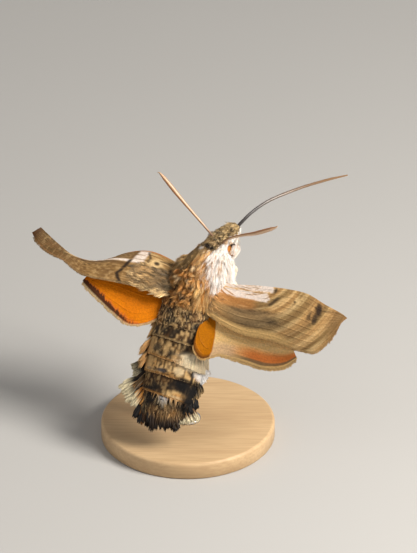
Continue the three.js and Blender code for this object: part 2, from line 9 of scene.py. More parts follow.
import bpy
import numpy as np
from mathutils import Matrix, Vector


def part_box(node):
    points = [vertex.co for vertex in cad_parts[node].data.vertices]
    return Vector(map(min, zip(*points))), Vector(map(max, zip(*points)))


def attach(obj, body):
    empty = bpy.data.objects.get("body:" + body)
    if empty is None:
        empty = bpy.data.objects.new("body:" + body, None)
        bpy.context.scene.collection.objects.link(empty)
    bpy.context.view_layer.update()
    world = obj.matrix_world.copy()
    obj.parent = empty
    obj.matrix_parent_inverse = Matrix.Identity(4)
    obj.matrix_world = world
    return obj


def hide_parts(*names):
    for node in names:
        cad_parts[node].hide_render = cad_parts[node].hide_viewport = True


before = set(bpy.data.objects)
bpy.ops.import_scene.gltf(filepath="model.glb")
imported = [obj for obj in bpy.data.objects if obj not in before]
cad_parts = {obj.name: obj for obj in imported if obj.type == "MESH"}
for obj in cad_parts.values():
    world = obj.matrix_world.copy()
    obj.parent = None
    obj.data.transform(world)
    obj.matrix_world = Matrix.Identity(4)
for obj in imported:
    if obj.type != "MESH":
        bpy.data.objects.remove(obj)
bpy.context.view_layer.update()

# %% [markdown]
# ## The moth's own frame
#
# The moth leans back by 60 degrees, so that its back faces a viewer who looks down a little. Its own frame
# has x to the right, y up along the back and z straight out from the back, in millimetres from the middle
# of the thorax. The body is one smooth form round a bent line: a table gives its half width, half depth
# and roll at each place, from 0 at the front of the head to 1 at the tip of the tail. A table and a line
# are the shortest true description of such a body, and skin, coat and legs can all be placed by them.

# %% Curves and directions
LEAN_BACK = np.radians(60)
MM = 0.001
OUTWARD = np.array([0.0, 0.0, 1.0])


def turned(vectors):
    """The moth's frame turned about x by its lean: y and z mix by the cosine and the sine."""
    x, y, z = np.moveaxis(np.asarray(vectors, float), -1, 0)
    cosine, sine = np.cos(LEAN_BACK), np.sin(LEAN_BACK)
    return np.stack([x, cosine * y - sine * z, sine * y + cosine * z], axis=-1)


def unit(vectors):
    """Each vector divided by its length."""
    return vectors / np.maximum(np.linalg.norm(vectors, axis=-1, keepdims=True), 1e-12)


def resample(path, count):
    """Points evenly spaced along a path, found by interpolating over the length travelled."""
    travelled = np.concatenate([[0], np.cumsum(np.linalg.norm(np.diff(path, axis=0), axis=1))])
    stops = np.linspace(0, travelled[-1], count)
    return np.stack([np.interp(stops, travelled, column) for column in path.T], axis=-1)


def smooth_curve(points, count):
    """A centripetal Catmull-Rom curve through the points. Each span is a cubic whose end slopes weigh
    the neighbouring spans by the square root of their lengths."""
    p = np.asarray(points, float)
    p = np.vstack([2 * p[0] - p[1], p, 2 * p[-1] - p[-2]])
    knot = np.sqrt(np.linalg.norm(np.diff(p, axis=0), axis=1))[:, None]
    before, start, end, after = p[:-3], p[1:-2], p[2:-1], p[3:]
    k0, k1, k2 = knot[:-2], knot[1:-1], knot[2:]
    leave = ((start - before) / k0 - (end - before) / (k0 + k1) + (end - start) / k1) * k1
    arrive = ((end - start) / k1 - (after - start) / (k1 + k2) + (after - end) / k2) * k1
    t = np.linspace(0, 1, 120)[None, :, None]
    start, end, leave, arrive = (row[:, None] for row in (start, end, leave, arrive))
    path = (start + leave * t + (3 * (end - start) - 2 * leave - arrive) * t**2
            + (2 * (start - end) + leave + arrive) * t**3)
    return resample(path.reshape(-1, 3), count)


# %% The body's line and sections
BODY_LINE = smooth_curve([
    (5.16, 8.15, -0.30), (3.56, 6.44, 0.00), (0.82, 1.78, 0.10), (-1.37, -3.42, 0.00),
    (-2.60, -7.95, 0.00), (-3.45, -11.78, 0.10), (-4.60, -16.03, 0.20), (-5.50, -19.80, 0.20),
], 2001)
BODY_LENGTH = np.linalg.norm(np.diff(BODY_LINE, axis=0), axis=1).sum()
PLACES = np.linspace(0, 1, len(BODY_LINE))
BODY_SLOPE = np.gradient(BODY_LINE, PLACES, axis=0)

# Place along the line, half width, half depth, and roll in degrees towards the left.
SECTIONS = np.array([
    (0.000, 0.80, 0.70, 42), (0.030, 1.45, 1.15, 42), (0.070, 2.00, 1.70, 42), (0.110, 2.30, 2.10, 41),
    (0.150, 2.75, 2.55, 40), (0.200, 3.65, 3.25, 38), (0.260, 4.25, 3.75, 36), (0.340, 4.45, 3.95, 32),
    (0.420, 4.35, 3.75, 27), (0.500, 4.40, 3.40, 22), (0.600, 4.60, 3.20, 18), (0.720, 4.50, 2.80, 14),
    (0.860, 3.90, 1.90, 12), (1.000, 3.20, 0.90, 10),
])
NECK = 0.164

# Rear edges of the abdomen's rings: one row a ring, one place for each of the turns round the body.
RING_TURNS = [-90, 26, 62, 84, 105, 135, 170, 270]
RING_EDGES = [
    [0.530, 0.530, 0.530, 0.530, 0.530, 0.530, 0.530, 0.530],
    [0.597, 0.606, 0.600, 0.596, 0.592, 0.588, 0.591, 0.597],
    [0.690, 0.711, 0.698, 0.688, 0.683, 0.674, 0.669, 0.690],
    [0.758, 0.765, 0.762, 0.760, 0.758, 0.757, 0.754, 0.758],
    [0.848, 0.858, 0.854, 0.850, 0.847, 0.843, 0.838, 0.848],
]


def section(place, column):
    """A smooth value from the table: the mean of five readings close together rounds its corners."""
    near = [np.interp(place + step, SECTIONS[:, 0], SECTIONS[:, column])
            for step in (-0.02, -0.01, 0, 0.01, 0.02)]
    return np.mean(near, axis=0)


def along_line(table, place):
    """The row of a table at each place, mixed from the rows on both sides."""
    return np.stack([np.interp(place, PLACES, column) for column in table.T], axis=-1)


def body_frame(place):
    """Centre, forward, dorsal and right. Dorsal is the outward direction made square to forward, then
    rolled to the left; right is forward crossed with dorsal."""
    place = np.asarray(place, float)
    forward = -unit(along_line(BODY_SLOPE, place))
    level = unit(OUTWARD - (forward @ OUTWARD)[..., None] * forward)
    left = np.cross(level, forward)
    roll = np.radians(section(place, 3))[..., None]
    dorsal = level * np.cos(roll) + left * np.sin(roll)
    return along_line(BODY_LINE, place), forward, dorsal, np.cross(forward, dorsal)


def in_body(place, side, up, behind=0.0):
    """A point so many millimetres to the right, to the back and towards the tail of a place."""
    centre, _, dorsal, right = body_frame(np.asarray(place) + behind / BODY_LENGTH)
    side, up = np.asarray(side)[..., None], np.asarray(up)[..., None]
    return centre + right * side + dorsal * up


def on_body(place, turn, depth):
    """A point of the body's oval section: turn is 0 at the right, 90 at the back and 180 at the left."""
    angle = np.radians(turn)
    return in_body(place, (section(place, 1) - depth) * np.cos(angle),
                   (section(place, 2) - depth) * np.sin(angle))


print("body line, mm:", round(float(BODY_LENGTH), 2))

# %% [markdown]
# ## Placing the moth's frame in the world
#
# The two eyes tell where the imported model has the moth: the middle of each eye's box is the middle of the
# eye. Reading the place from the frame means that nothing has to be fitted by hand afterwards.

# %% Find the moth in the world
EYE = {"along": 0.110, "side": 1.92, "up": -0.30, "radii": (0.78, 0.98, 1.12), "tilt": 24,
       "size": 0.94, "sunk": 0.02}
SIDES = {"left": -1, "right": 1}


def box_middle(node):
    low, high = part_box(node)
    return (np.array(low) + np.array(high)) / 2


eye_middles = {name: in_body(EYE["along"], side * EYE["side"], EYE["up"]) for name, side in SIDES.items()}
moth_origin = np.mean([
    box_middle(f"eye_{name}") / MM - turned(middle) for name, middle in eye_middles.items()
], axis=0)


def to_world(points):
    """World metres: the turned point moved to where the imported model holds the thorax."""
    return (turned(points) + moth_origin) * MM


print("thorax centre, mm:", moth_origin.round(3))

# %% [markdown]
# ## Camera
#
# The photo looks down on the moth's back by about 30 degrees. A long lens from a metre away keeps the
# wings' proportions as flat as a close photo from a small sensor shows them. The camera looks straight
# down the moth's own z axis, and the scale of 7.3 pixels a millimetre sets the width of the view.

# %% Camera
PHOTO_WIDTH, PHOTO_HEIGHT = 417, 553
PIXELS_PER_MM = 7.3
THORAX_PIXEL = np.array([200.0, 285.0])
CAMERA_DISTANCE = 1000.0
SENSOR = 36.0

aim_x = (PHOTO_WIDTH / 2 - THORAX_PIXEL[0]) / PIXELS_PER_MM
aim_y = (THORAX_PIXEL[1] - PHOTO_HEIGHT / 2) / PIXELS_PER_MM
camera_data = bpy.data.cameras.new("camera")
camera_data.sensor_fit = "VERTICAL"
camera_data.sensor_height = SENSOR
camera_data.lens = SENSOR * CAMERA_DISTANCE / (PHOTO_HEIGHT / PIXELS_PER_MM)
camera_data.clip_start = 0.05
camera_data.clip_end = 20
camera = bpy.data.objects.new("camera", camera_data)
camera.location = to_world(np.array([aim_x, aim_y, CAMERA_DISTANCE]))
camera.rotation_euler = (LEAN_BACK, 0, 0)
bpy.context.collection.objects.link(camera)
bpy.context.scene.camera = camera
print("camera, m:", [round(value, 3) for value in camera.location], "lens", round(camera_data.lens))

# %% [markdown]
# ## Floor and light
#
# A pale floor and soft window-like lights show a small furry thing best. The key light comes from the upper
# right, as the sun does in the photo, so the white flank is the brightest part. A wide fill from the left
# and a pale sky keep the shaded wing readable.

# %% Colours and shader nodes
def tone(red, green, blue):
    """A colour as a screen shows it, from 0 to 255, made linear by the sRGB curve."""
    share = np.array([red, green, blue]) / 255
    return np.where(share <= 0.04045, share / 12.92, ((share + 0.055) / 1.055) ** 2.4)


def add_node(tree, kind, values=None, **settings):
    """A shader node with its settings, and with each input linked to a socket or set to a value."""
    made = tree.nodes.new(kind)
    for key, value in settings.items():
        setattr(made, key, value)
    for key, value in (values or {}).items():
        if isinstance(value, bpy.types.NodeSocket):
            tree.links.new(value, made.inputs[key])
        else:
            made.inputs[key].default_value = value
    return made


def new_material(name):
    """An empty material: its node tree, its shader and its object coordinates."""
    material = bpy.data.materials.new(name)
    material.use_nodes = True
    tree = material.node_tree
    shader = tree.nodes["Principled BSDF"]
    place = add_node(tree, "ShaderNodeTexCoord").outputs["Object"]
    return material, tree, shader, place


# %% Patterns and finishes
def noise_pattern(tree, vector, scale, detail):
    """A noise texture's value: so many lumps a metre, with finer noise on top as the detail says."""
    return add_node(tree, "ShaderNodeTexNoise", {"Vector": vector, "Scale": scale,
                                                 "Detail": detail}).outputs["Fac"]


def tinted(tree, pattern, darkest, lightest, span=(0.0, 1.0)):
    """The tint attribute, made darker and lighter by a pattern, whose span gives the range of values."""
    colour = add_node(tree, "ShaderNodeAttribute", attribute_name="tint").outputs["Color"]
    value = add_node(tree, "ShaderNodeMapRange", {"Value": pattern, "From Min": span[0], "From Max": span[1],
                                                  "To Min": darkest, "To Max": lightest})
    shade = add_node(tree, "ShaderNodeHueSaturation", {"Color": colour, "Value": value.outputs["Result"]})
    return shade.outputs["Color"]


def finish_material(tree, shader, colour, gloss, roughness, height, strength, depth, invert=False, **values):
    """Colour, roughness and bump for the shader. The gloss pattern moves the roughness between two
    numbers, and the height pattern gives bumps so many metres deep."""
    rough = add_node(tree, "ShaderNodeMapRange", {"Value": gloss, "To Min": roughness[0],
                                                  "To Max": roughness[1]})
    bump = add_node(tree, "ShaderNodeBump", {"Height": height, "Strength": strength, "Distance": depth},
                    invert=invert)
    for socket, source in (("Base Color", colour), ("Roughness", rough.outputs["Result"]),
                           ("Normal", bump.outputs["Normal"])):
        tree.links.new(source, shader.inputs[socket])
    set_shader(shader, **values)


def set_shader(shader, **values):
    """Numbers that are the same all over a surface, set on the shader's own sockets."""
    names = {"roughness": "Roughness", "metallic": "Metallic", "specular": "Specular IOR Level",
             "sheen": "Sheen Weight", "sheen_roughness": "Sheen Roughness", "coat": "Coat Weight",
             "coat_roughness": "Coat Roughness"}
    for key, value in values.items():
        shader.inputs[names[key]].default_value = value


# %% Floor
FLOOR_SIZE = 12.0
FLOOR_TONES = [(0.47, 0.46, 0.445, 1), (0.44, 0.43, 0.415, 1)]


def add_floor():
    half = FLOOR_SIZE / 2
    mesh = bpy.data.meshes.new("floor")
    mesh.from_pydata([(-half, -half, 0), (half, -half, 0), (half, half, 0), (-half, half, 0)], [],
                     [(0, 1, 2, 3)])
    floor = bpy.data.objects.new("floor", mesh)
    material, tree, shader, place = new_material("studio_floor")
    cloud = noise_pattern(tree, place, 9.0, 3.0)
    shade = add_node(tree, "ShaderNodeMix", {"Factor": cloud, 6: FLOOR_TONES[0], 7: FLOOR_TONES[1]},
                     data_type="RGBA")
    tree.links.new(shade.outputs[2], shader.inputs["Base Color"])
    set_shader(shader, roughness=0.85, specular=0.2)
    mesh.materials.append(material)
    bpy.context.collection.objects.link(floor)


add_floor()
print("floor, m:", FLOOR_SIZE)


# %% Lights
def add_light(name, way, distance, size, power, colour):
    """A square area light, so many metres from the moth along a direction of the moth's own frame."""
    data = bpy.data.lights.new(name, "AREA")
    data.size = size
    data.energy = power
    data.color = colour
    light = bpy.data.objects.new(name, data)
    offset = turned(unit(np.array(way, float)))
    light.location = moth_origin * MM + offset * distance
    light.rotation_euler = Vector(offset).to_track_quat("Z", "Y").to_euler()
    bpy.context.collection.objects.link(light)


add_light("key", (0.82, 0.50, 0.78), 0.30, 0.12, 1.55, (1.0, 0.96, 0.90))
add_light("fill", (-1.0, 0.3, 0.9), 0.35, 0.30, 0.24, (1.0, 0.98, 0.96))
add_light("front", (0.7, -0.5, 0.8), 0.35, 0.20, 0.42, (1.0, 0.97, 0.93))
world = bpy.data.worlds.new("studio")
world.use_nodes = True
world.node_tree.nodes["Background"].inputs["Color"].default_value = (0.95, 0.93, 0.90, 1)
world.node_tree.nodes["Background"].inputs["Strength"].default_value = 0.32
bpy.context.scene.world = world
bpy.context.scene.view_settings.view_transform = "Standard"

# %% [markdown]
# ## From arrays to meshes
#
# All pieces share three steps: points on a grid or in many small copies, faces that join them, and one
# call that puts both into a mesh. foreach_set moves a whole array at once, so even a zone of forty thousand
# hairs takes less than a second. Colours that follow the body's markings go in as an attribute named
# tint, worked out by the same functions for skin and coat, so both always agree.

# %% Mesh helpers
def add_piece(name, points, face_sets, material, tint=None, maps=None, smooth=True):
    """A mesh object from points in the moth's frame and arrays of faces of three or four corners."""
    corners = np.concatenate([faces.ravel() for faces in face_sets])
    sizes = np.concatenate([np.full(len(faces), faces.shape[1]) for faces in face_sets])
    mesh = bpy.data.meshes.new(name)
    mesh.vertices.add(len(points))
    mesh.vertices.foreach_set("co", to_world(points).astype(np.float32).ravel())
    mesh.loops.add(len(corners))
    mesh.loops.foreach_set("vertex_index", corners.astype(np.int32))
    mesh.polygons.add(len(sizes))
    mesh.polygons.foreach_set("loop_start", (np.cumsum(sizes) - sizes).astype(np.int32))
    mesh.polygons.foreach_set("use_smooth", np.full(len(sizes), smooth))
    for map_name, flat in (maps or {}).items():
        layer = mesh.uv_layers.new(name=map_name)
        layer.data.foreach_set("uv", flat[corners].astype(np.float32).ravel())
    if tint is not None:
        colour = mesh.attributes.new("tint", "FLOAT_COLOR", "POINT")
        colour.data.foreach_set("color", np.c_[tint, np.ones(len(tint))].astype(np.float32).ravel())
    mesh.update(calc_edges=True)
    mesh.materials.append(material)
    piece = bpy.data.objects.new(name, mesh)
    bpy.context.collection.objects.link(piece)
    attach(piece, "root")
    triangles = int((sizes - 2).sum())
    print(f"{name}: {triangles} triangles")
    return piece


def volume_sign(points, faces):
    """The sign of the enclosed volume: the sum over faces of a corner's dot with the others' cross."""
    a, b, c = (points[faces[:, corner]] for corner in range(3))
    return np.sign(np.einsum("ij,ij->i", a, np.cross(b, c)).sum())


def outwards(points, face_sets):
    """The faces as they are, or all turned over if they enclose a negative volume."""
    if volume_sign(points, np.concatenate([faces[:, :3] for faces in face_sets])) < 0:
        return [faces[:, ::-1] for faces in face_sets]
    return face_sets


def tube_faces(rows, columns):
    """Quads round a tube of rows of points, and a fan of triangles from one last point at each end."""
    row, column = np.meshgrid(np.arange(rows - 1), np.arange(columns), indexing="ij")
    beside = (column + 1) % columns
    quads = np.stack([row * columns + column, row * columns + beside,
                      (row + 1) * columns + beside, (row + 1) * columns + column], axis=-1)
    around = np.arange(columns)
    first, last = rows * columns, rows * columns + 1
    start = np.stack([np.full(columns, first), (around + 1) % columns, around], axis=-1)
    end_row = (rows - 1) * columns
    end = np.stack([np.full(columns, last), end_row + around, end_row + (around + 1) % columns], axis=-1)
    return [quads.reshape(-1, 4), np.concatenate([start, end])]


# %% Mixing colours
def blend(low, high, share):
    """Two numbers mixed by a share: low where it is 0, high where it is 1."""
    return low + (high - low) * share


def over(ground, colour, share):
    """One colour laid over another, as thick as the share says at each point."""
    share = np.asarray(share, float)[..., None]
    return ground * (1 - share) + colour * share


def lay(ground, palette, layers):
    """Layers of colour over a ground, one after another: each has a colour's name in the palette, a
    strength, and the share of it at each point."""
    for name, strength, share in layers:
        ground = over(ground, palette[name], strength * share)
    return ground


def brighten(colours, gain, most):
    """Colours times a gain, held back where the brightest channel would pass the most allowed."""
    return colours * np.minimum(gain, most / np.maximum(colours.max(axis=-1), most / 4))[..., None]


# %% Soft steps and noise
def rise(value, start, end):
    """0 before start, 1 after end, and a smoothstep between them."""
    share = np.clip((value - start) / (end - start), 0, 1)
    return share * share * (3 - 2 * share)


def past(value, line, half):
    """0 before a line, 1 after it, with a soft border of so much on both sides."""
    return rise(value, line - half, line + half)


def ragged(value, pattern, depth):
    """A value pushed up and down by noise, so that a border drawn at it looks torn, so much in all."""
    return value + depth * (pattern - 0.5)


def hump(value, low, high, soft):
    """1 between low and high, fading to 0 over a soft margin outside."""
    return rise(value, low - soft, low) * (1 - rise(value, high, high + soft))


def noise(points, size, seed):
    """Smooth noise from 0 to 1: a random value at each corner of a lattice of cells of one size, mixed
    by a smoothstep along each axis."""
    cell = np.asarray(points, float) / size + seed * 17.31
    low = np.floor(cell)
    share = cell - low
    share = share * share * (3 - 2 * share)
    total = np.zeros(cell.shape[:-1])
    for corner in np.ndindex(*[2] * cell.shape[-1]):
        weights = np.array([127.1, 311.7, 74.7])[: cell.shape[-1]]
        value = (np.sin((low + corner) @ weights) * 43758.5453) % 1
        total += value * np.prod(np.where(corner, share, 1 - share), axis=-1)
    return total


print("noise at one point:", round(float(noise([0.5, 0.5, 0.5], 1.0, 1)), 3))

# %% [markdown]
# ## Markings of the body
#
# One function gives the colour at any place and turn. The species is grey-brown above and white below; the
# flanks of its thorax go from white through gold to a shaggy dark brown, where the gold band and the top of
# the white are painted sunlight on brown-grey hair. The abdomen carries pale hair lines at the rear edges of
# its rings, black patches near the tail and a white spot. Each marking is a soft hump in place and turn, so
# it stays put on the surface from every side.

# %% Body colours
FUR = {
    "white": tone(240, 236, 232), "cream": tone(238, 210, 164), "gold": tone(208, 152, 80),
    "amber": tone(168, 108, 42), "brown": tone(116, 80, 42), "dark": tone(58, 38, 20),
    "black": tone(22, 18, 17), "grey_tan": tone(144, 116, 74), "head": tone(184, 154, 104),
    "soot": tone(70, 60, 46), "velvet": tone(168, 132, 80), "straw": tone(228, 192, 132),
    "tan": tone(192, 148, 90), "sand": tone(212, 174, 118), "orange": tone(208, 148, 78),
    "slate": tone(50, 50, 56), "belly": tone(200, 182, 150), "ivory": tone(222, 208, 172),
    "lappet": tone(254, 236, 200),
}
print("colours of the fur:", len(FUR))


# %% Places on the body
def turn_from_right(turn):
    """Turns brought between -90 at the belly, 0 at the right, 90 at the back and 270 at the belly."""
    return (turn + 90) % 360 - 90


def from_back(place, turn):
    """Degrees from the middle of the back, which is twisted to the left on the thorax and head."""
    middle = np.interp(place, [0, 0.12, 0.17, 0.32, 0.45, 0.60, 1], [104, 104, 112, 112, 100, 90, 88])
    return (turn - middle + 180) % 360 - 180


def spot(place, turn, at, size, soft=1.5):
    """An oval patch: 1 inside its half sizes in place and turn, fading out to soft times those sizes."""
    offset = np.hypot((place - at[0]) / size[0], (turn - at[1]) / size[1])
    return 1 - rise(offset, 2 - soft, soft)


def lay_spots(ground, palette, place, turn, spots):
    """Oval patches over a ground: each has a colour's name, a strength, a middle and half sizes."""
    for name, strength, at, size in spots:
        ground = over(ground, palette[name], strength * spot(place, turn, at, size))
    return ground


# %% Markings of the head
# Each spot has a colour, a strength, a middle in place and turn, and half sizes.
HEAD_PITS = [
    ("black", 0.9, (0.078, 94), (0.008, 10)), ("black", 0.9, (0.037, 62), (0.010, 12)),
    ("black", 0.9, (0.060, 56), (0.007, 8)), ("black", 0.9, (0.112, 88), (0.006, 9)),
    ("black", 0.9, (0.120, 66), (0.005, 8)), ("black", 0.9, (0.098, 72), (0.005, 8)),
]
HEAD_SPOTS = [
    ("gold", 0.75, (0.088, 16), (0.008, 12)), ("gold", 0.70, (0.098, 40), (0.012, 8)),
    ("cream", 0.80, (0.092, 118), (0.008, 10)), ("black", 0.96, (0.151, 86), (0.011, 24)),
]
print("head: spots", len(HEAD_PITS) + len(HEAD_SPOTS))


def paint_head(place, turn, away, coarse, strand):
    """Grey-tan with dark pits above, white below a line that drops towards the front."""
    above = lay(FUR["head"], FUR, [
        ("grey_tan", 1.00, rise(coarse, 0.2, 0.8)),
        ("soot", 0.75, rise(strand, 0.60, 0.85)),
        ("cream", 0.50, 1 - rise(strand, 0.15, 0.35)),
        ("brown", 0.50, rise(place, 0.095, 0.14)),
    ])
    above = lay_spots(above, FUR, place, turn, HEAD_PITS)
    edge = np.interp(place, [0.0, 0.033, 0.06, 0.093, 0.13, 0.17], [96, 90, 78, 60, 52, 46])
    head = over(above, FUR["white"], past(ragged(away, coarse, 10), edge, 6))
    return lay_spots(head, FUR, place, turn, HEAD_SPOTS)


# %% Markings of the thorax
MANE_SPOTS = [
    ("cream", 0.85, (0.322, 89), (0.012, 5)), ("cream", 0.85, (0.264, 88), (0.012, 4)),
    ("cream", 0.85, (0.326, 112), (0.014, 6)),
]
print("mane: spots", len(MANE_SPOTS))


def paint_thorax(place, turn, away, coarse, strand, silk):
    """Smooth olive grey in front with a small painted highlight, a shaggy dark brown mane with golden tips
    behind it, and flanks that go from gold to white. The gold and the upper part of the white are painted
    sunlight on the flanks' brown-grey hair."""
    velvet = lay(FUR["velvet"], FUR, [
        ("brown", 0.45, rise(coarse, 0.40, 0.85)),
        ("soot", 0.35, rise(strand, 0.55, 0.85)),
        # This small white spot is a painted highlight on the velvet.
        ("white", 0.80, spot(place, turn, (0.170, 110), (0.008, 10))),
    ])
    shag = lay(FUR["amber"], FUR, [
        ("dark", 0.90, rise(coarse, 0.42, 0.72)),
        ("gold", 0.95, rise(strand, 0.55, 0.80)),
        ("tan", 0.45, rise(turn, 140, 165)),
    ])
    shag = lay_spots(shag, FUR, place, turn, MANE_SPOTS)
    velvet_end = np.interp(turn, [88, 94, 100, 107, 120, 135, 150],
                           [0.18, 0.209, 0.241, 0.280, 0.29, 0.30, 0.28])
    back = over(shag, velvet, past(ragged(velvet_end - place, coarse, 0.02), 0, 0.008))

    ridge = np.interp(place, [0.16, 0.186, 0.217, 0.247, 0.275], [60, 66, 72, 78, 86])
    ridge_seen = rise(place, 0.16, 0.17) * (1 - rise(place, 0.262, 0.285))
    # The gold band and the upper part of the white below it are painted sunlight: the flanks' brown-grey hair
    # as it looks in strong sun. Lower down, the white is the flanks' own colour.
    gold = lay(FUR["gold"], FUR, [
        ("straw", 0.95, rise(silk, 0.48, 0.68)),
        ("amber", 0.95, 1 - rise(silk, 0.26, 0.46)),
        ("brown", 0.85, (1 - rise(np.abs(turn - ridge), 2.0, 4.0)) * ridge_seen),
    ])
    gold_from = np.interp(place, [0.16, 0.20, 0.24, 0.27, 0.30, 0.36, 0.42], [28, 28, 26, 36, 38, 46, 46])
    thorax = over(back, gold, past(ragged(away, coarse, 8), gold_from, 4))
    gold_streaks = (1 - rise(silk, 0.26, 0.42)) * (1 - 0.6 * rise(away, 80, 140))
    white = over(FUR["white"], FUR["gold"], 0.70 * gold_streaks)
    white_from = np.interp(place, [0.16, 0.202, 0.235, 0.272, 0.300, 0.330, 0.400],
                           [46, 48, 54, 62, 72, 92, 118])
    return over(thorax, white, past(ragged(away, silk, 60), white_from, 10))


# %% Markings of the abdomen
ABDOMEN_SPOTS = [
    ("sand", 0.75, (0.545, 170), (0.045, 20)), ("soot", 0.85, (0.636, 124), (0.020, 11)),
    ("soot", 0.60, (0.655, 92), (0.014, 10)), ("sand", 0.75, (0.630, 104), (0.022, 6)),
    ("dark", 0.95, (0.628, 63), (0.017, 6)), ("lappet", 1.00, (0.674, 42), (0.036, 36)),
    ("lappet", 1.00, (0.655, 5), (0.042, 26)), ("tan", 0.70, (0.668, 82), (0.010, 12)),
    ("sand", 0.90, (0.628, 170), (0.030, 22)), ("white", 0.90, (0.652, 190), (0.010, 12)),
    ("sand", 0.80, (0.706, 164), (0.034, 28)), ("cream", 0.80, (0.806, 180), (0.020, 12)),
    ("white", 0.70, (0.830, 168), (0.012, 8)), ("slate", 0.95, (0.738, 107), (0.010, 11)),
    ("slate", 0.85, (0.740, 139), (0.007, 7)), ("cream", 0.95, (0.726, 73), (0.018, 9)),
    ("sand", 0.80, (0.738, 57), (0.016, 5)), ("black", 0.95, (0.728, 44), (0.016, 7)),
    ("white", 0.95, (0.720, 14), (0.026, 22)), ("black", 0.90, (0.830, 136), (0.009, 20)),
    ("black", 1.00, (0.780, 62), (0.034, 21)), ("black", 1.00, (0.800, 18), (0.042, 34)),
    ("black", 0.70, (0.822, 118), (0.010, 12)), ("sand", 0.85, (0.834, 70), (0.018, 24)),
    ("orange", 0.70, (0.838, 60), (0.015, 14)), ("cream", 0.60, (0.844, 66), (0.008, 14)),
    ("black", 1.00, (0.866, 124), (0.024, 15)), ("black", 1.00, (0.864, 26), (0.046, 34)),
    ("orange", 0.85, (0.908, 62), (0.015, 9)), ("white", 0.98, (0.858, 92), (0.008, 11)),
    ("sand", 0.70, (0.840, 172), (0.020, 12)),
]
print("abdomen: spots", len(ABDOMEN_SPOTS))


def paint_abdomen(place, turn, away, coarse, fine, strand):
    """Brown with tan streaks; cream, black and orange patches ring by ring, then the pale line ahead of
    each ring's edge, painted shade in the step behind it and the dark end of the tail. The left side of the
    front rings is painted lighter, as painted fill light for the side away from the key light."""
    light = over(FUR["sand"], FUR["tan"], rise(strand, 0.3, 0.8))
    ground = lay(FUR["soot"], FUR, [
        ("brown", 1.00, rise(coarse, 0.25, 0.75)),
        ("tan", 0.45, hump(place, 0.61, 0.745, 0.015)),
        ("sand", 1.00, rise(strand, 0.52, 0.80) * blend(0.85, 0.55, rise(place, 0.76, 0.80))),
        ("dark", 0.75, 1 - rise(strand, 0.18, 0.42)),
    ])
    ground = over(ground, light, 0.8 * rise(turn, 126, 146) * hump(place, 0.595, 0.752, 0.01))
    ground = lay(ground, FUR, [
        ("soot", 0.40, 1 - rise(coarse, 0.25, 0.50)),
        ("dark", 0.40, hump(place, 0.77, 0.835, 0.01)),
    ])
    ground = lay_spots(ground, FUR, place, turn, ABDOMEN_SPOTS)
    ground = ground * blend(0.66, 1.16, rise(strand, 0.22, 0.66))[..., None]
    # The first term paints the left side of the front rings lighter, as painted fill light for the side away
    # from the key light; the other terms lift two rings further back and darken the end of the tail.
    gain = (1 + 1.15 * rise(turn, 96, 160) * hump(place, 0.50, 0.745, 0.03)
            + 0.95 * hump(place, 0.685, 0.745, 0.01) + 0.25 * hump(place, 0.77, 0.845, 0.01)
            - 0.38 * rise(place, 0.845, 0.87))
    ground = brighten(ground, gain, 0.80)

    back, on = ring_span(place, turn)
    rings_start = rise(place, 0.56, 0.57)
    seen_from = np.interp(place, [0.68, 0.71, 0.77, 0.80], [30, 74, 74, 50])
    seen = past(turn, seen_from, 9) * (1 - rise(turn, 176, 190)) * (1 - rise(place, 0.852, 0.858))
    rear_line = np.where(place < 0.62, 0.75, 0.9) * (1 - rise(ragged(on, fine, 0.12), 0.12, 0.24))
    line_tint = over(FUR["sand"], FUR["orange"], rise(place, 0.62, 0.66))
    ground = over(ground, line_tint, rear_line * seen * rings_start)
    tail_from = np.interp(turn, [60, 90, 110, 150, 176], [0.952, 0.956, 0.954, 0.938, 0.930])
    return lay(ground, FUR, [
        # Painted shade in the step just behind the edge of the ring ahead.
        ("dark", 0.85, (1 - rise(back, 0.10, 0.26)) * rings_start),
        ("black", 0.95, rise(ragged(place, fine, 0.02), tail_from, tail_from + 0.012)),
        ("belly", 1.00, rise(away, 98, 122) * (1 - rise(place, 0.90, 0.95))),
    ])


# %% The body's colour
# Millimetres of body to one radian of turn, and how far silky streaks slant at 60 degrees off the side.
MEAN_RADIUS = 4.0
SILK_SLANT = 0.35


def paint_body(place, turn, points):
    """Head, thorax and abdomen, one laid over another with ragged edges, under a fine mottle. Strand and
    silk are noise drawn out along the body, which makes streaks as locks of hair do."""
    turn = turn_from_right(turn)
    away = np.abs(from_back(place, turn))
    coarse = noise(points, 0.75, 1)
    fine = noise(points, 0.26, 2)
    run = place * BODY_LENGTH
    arc = np.radians(turn) * MEAN_RADIUS + 0.3 * coarse
    slant = SILK_SLANT * run * (turn - 52) / 60
    strand = np.where(place < NECK, fine, noise(np.stack([run / 0.62, arc / 0.075], axis=-1), 1.0, 3))
    silk = noise(np.stack([run / 1.15, (arc + slant) / 0.16], axis=-1), 1.0, 4)
    waist = np.interp(turn, [-20, 8, 29, 53, 88, 118, 170], [0.36, 0.37, 0.40, 0.435, 0.440, 0.455, 0.440])
    edge = ragged(place, coarse, 0.012)
    ground = paint_head(place, turn, away, coarse, strand)
    ground = over(ground, paint_thorax(place, turn, away, coarse, strand, silk), rise(edge, 0.158, 0.172))
    ground = over(ground, paint_abdomen(place, turn, away, coarse, fine, strand), past(edge, waist, 0.008))
    return np.clip(ground * (0.86 + 0.28 * fine[..., None]), 0, 1)


def brightness(colours):
    """The mean of the three channels, from 0 for black to 1 for white."""
    return colours.mean(axis=-1)


print("brightness of white fur:", round(float(brightness(FUR["white"])), 2))

# %% [markdown]
# ## Skin
#
# Under the coat lies one closed skin from the front of the head to the tail, with no seam at neck or waist.
# It follows the same oval sections as the solids, set in by the depth of the coat, and steps in behind
# each ring of the abdomen. It mostly closes the gaps between hairs, and it is painted darker than they are,
# as painted shade in those gaps.

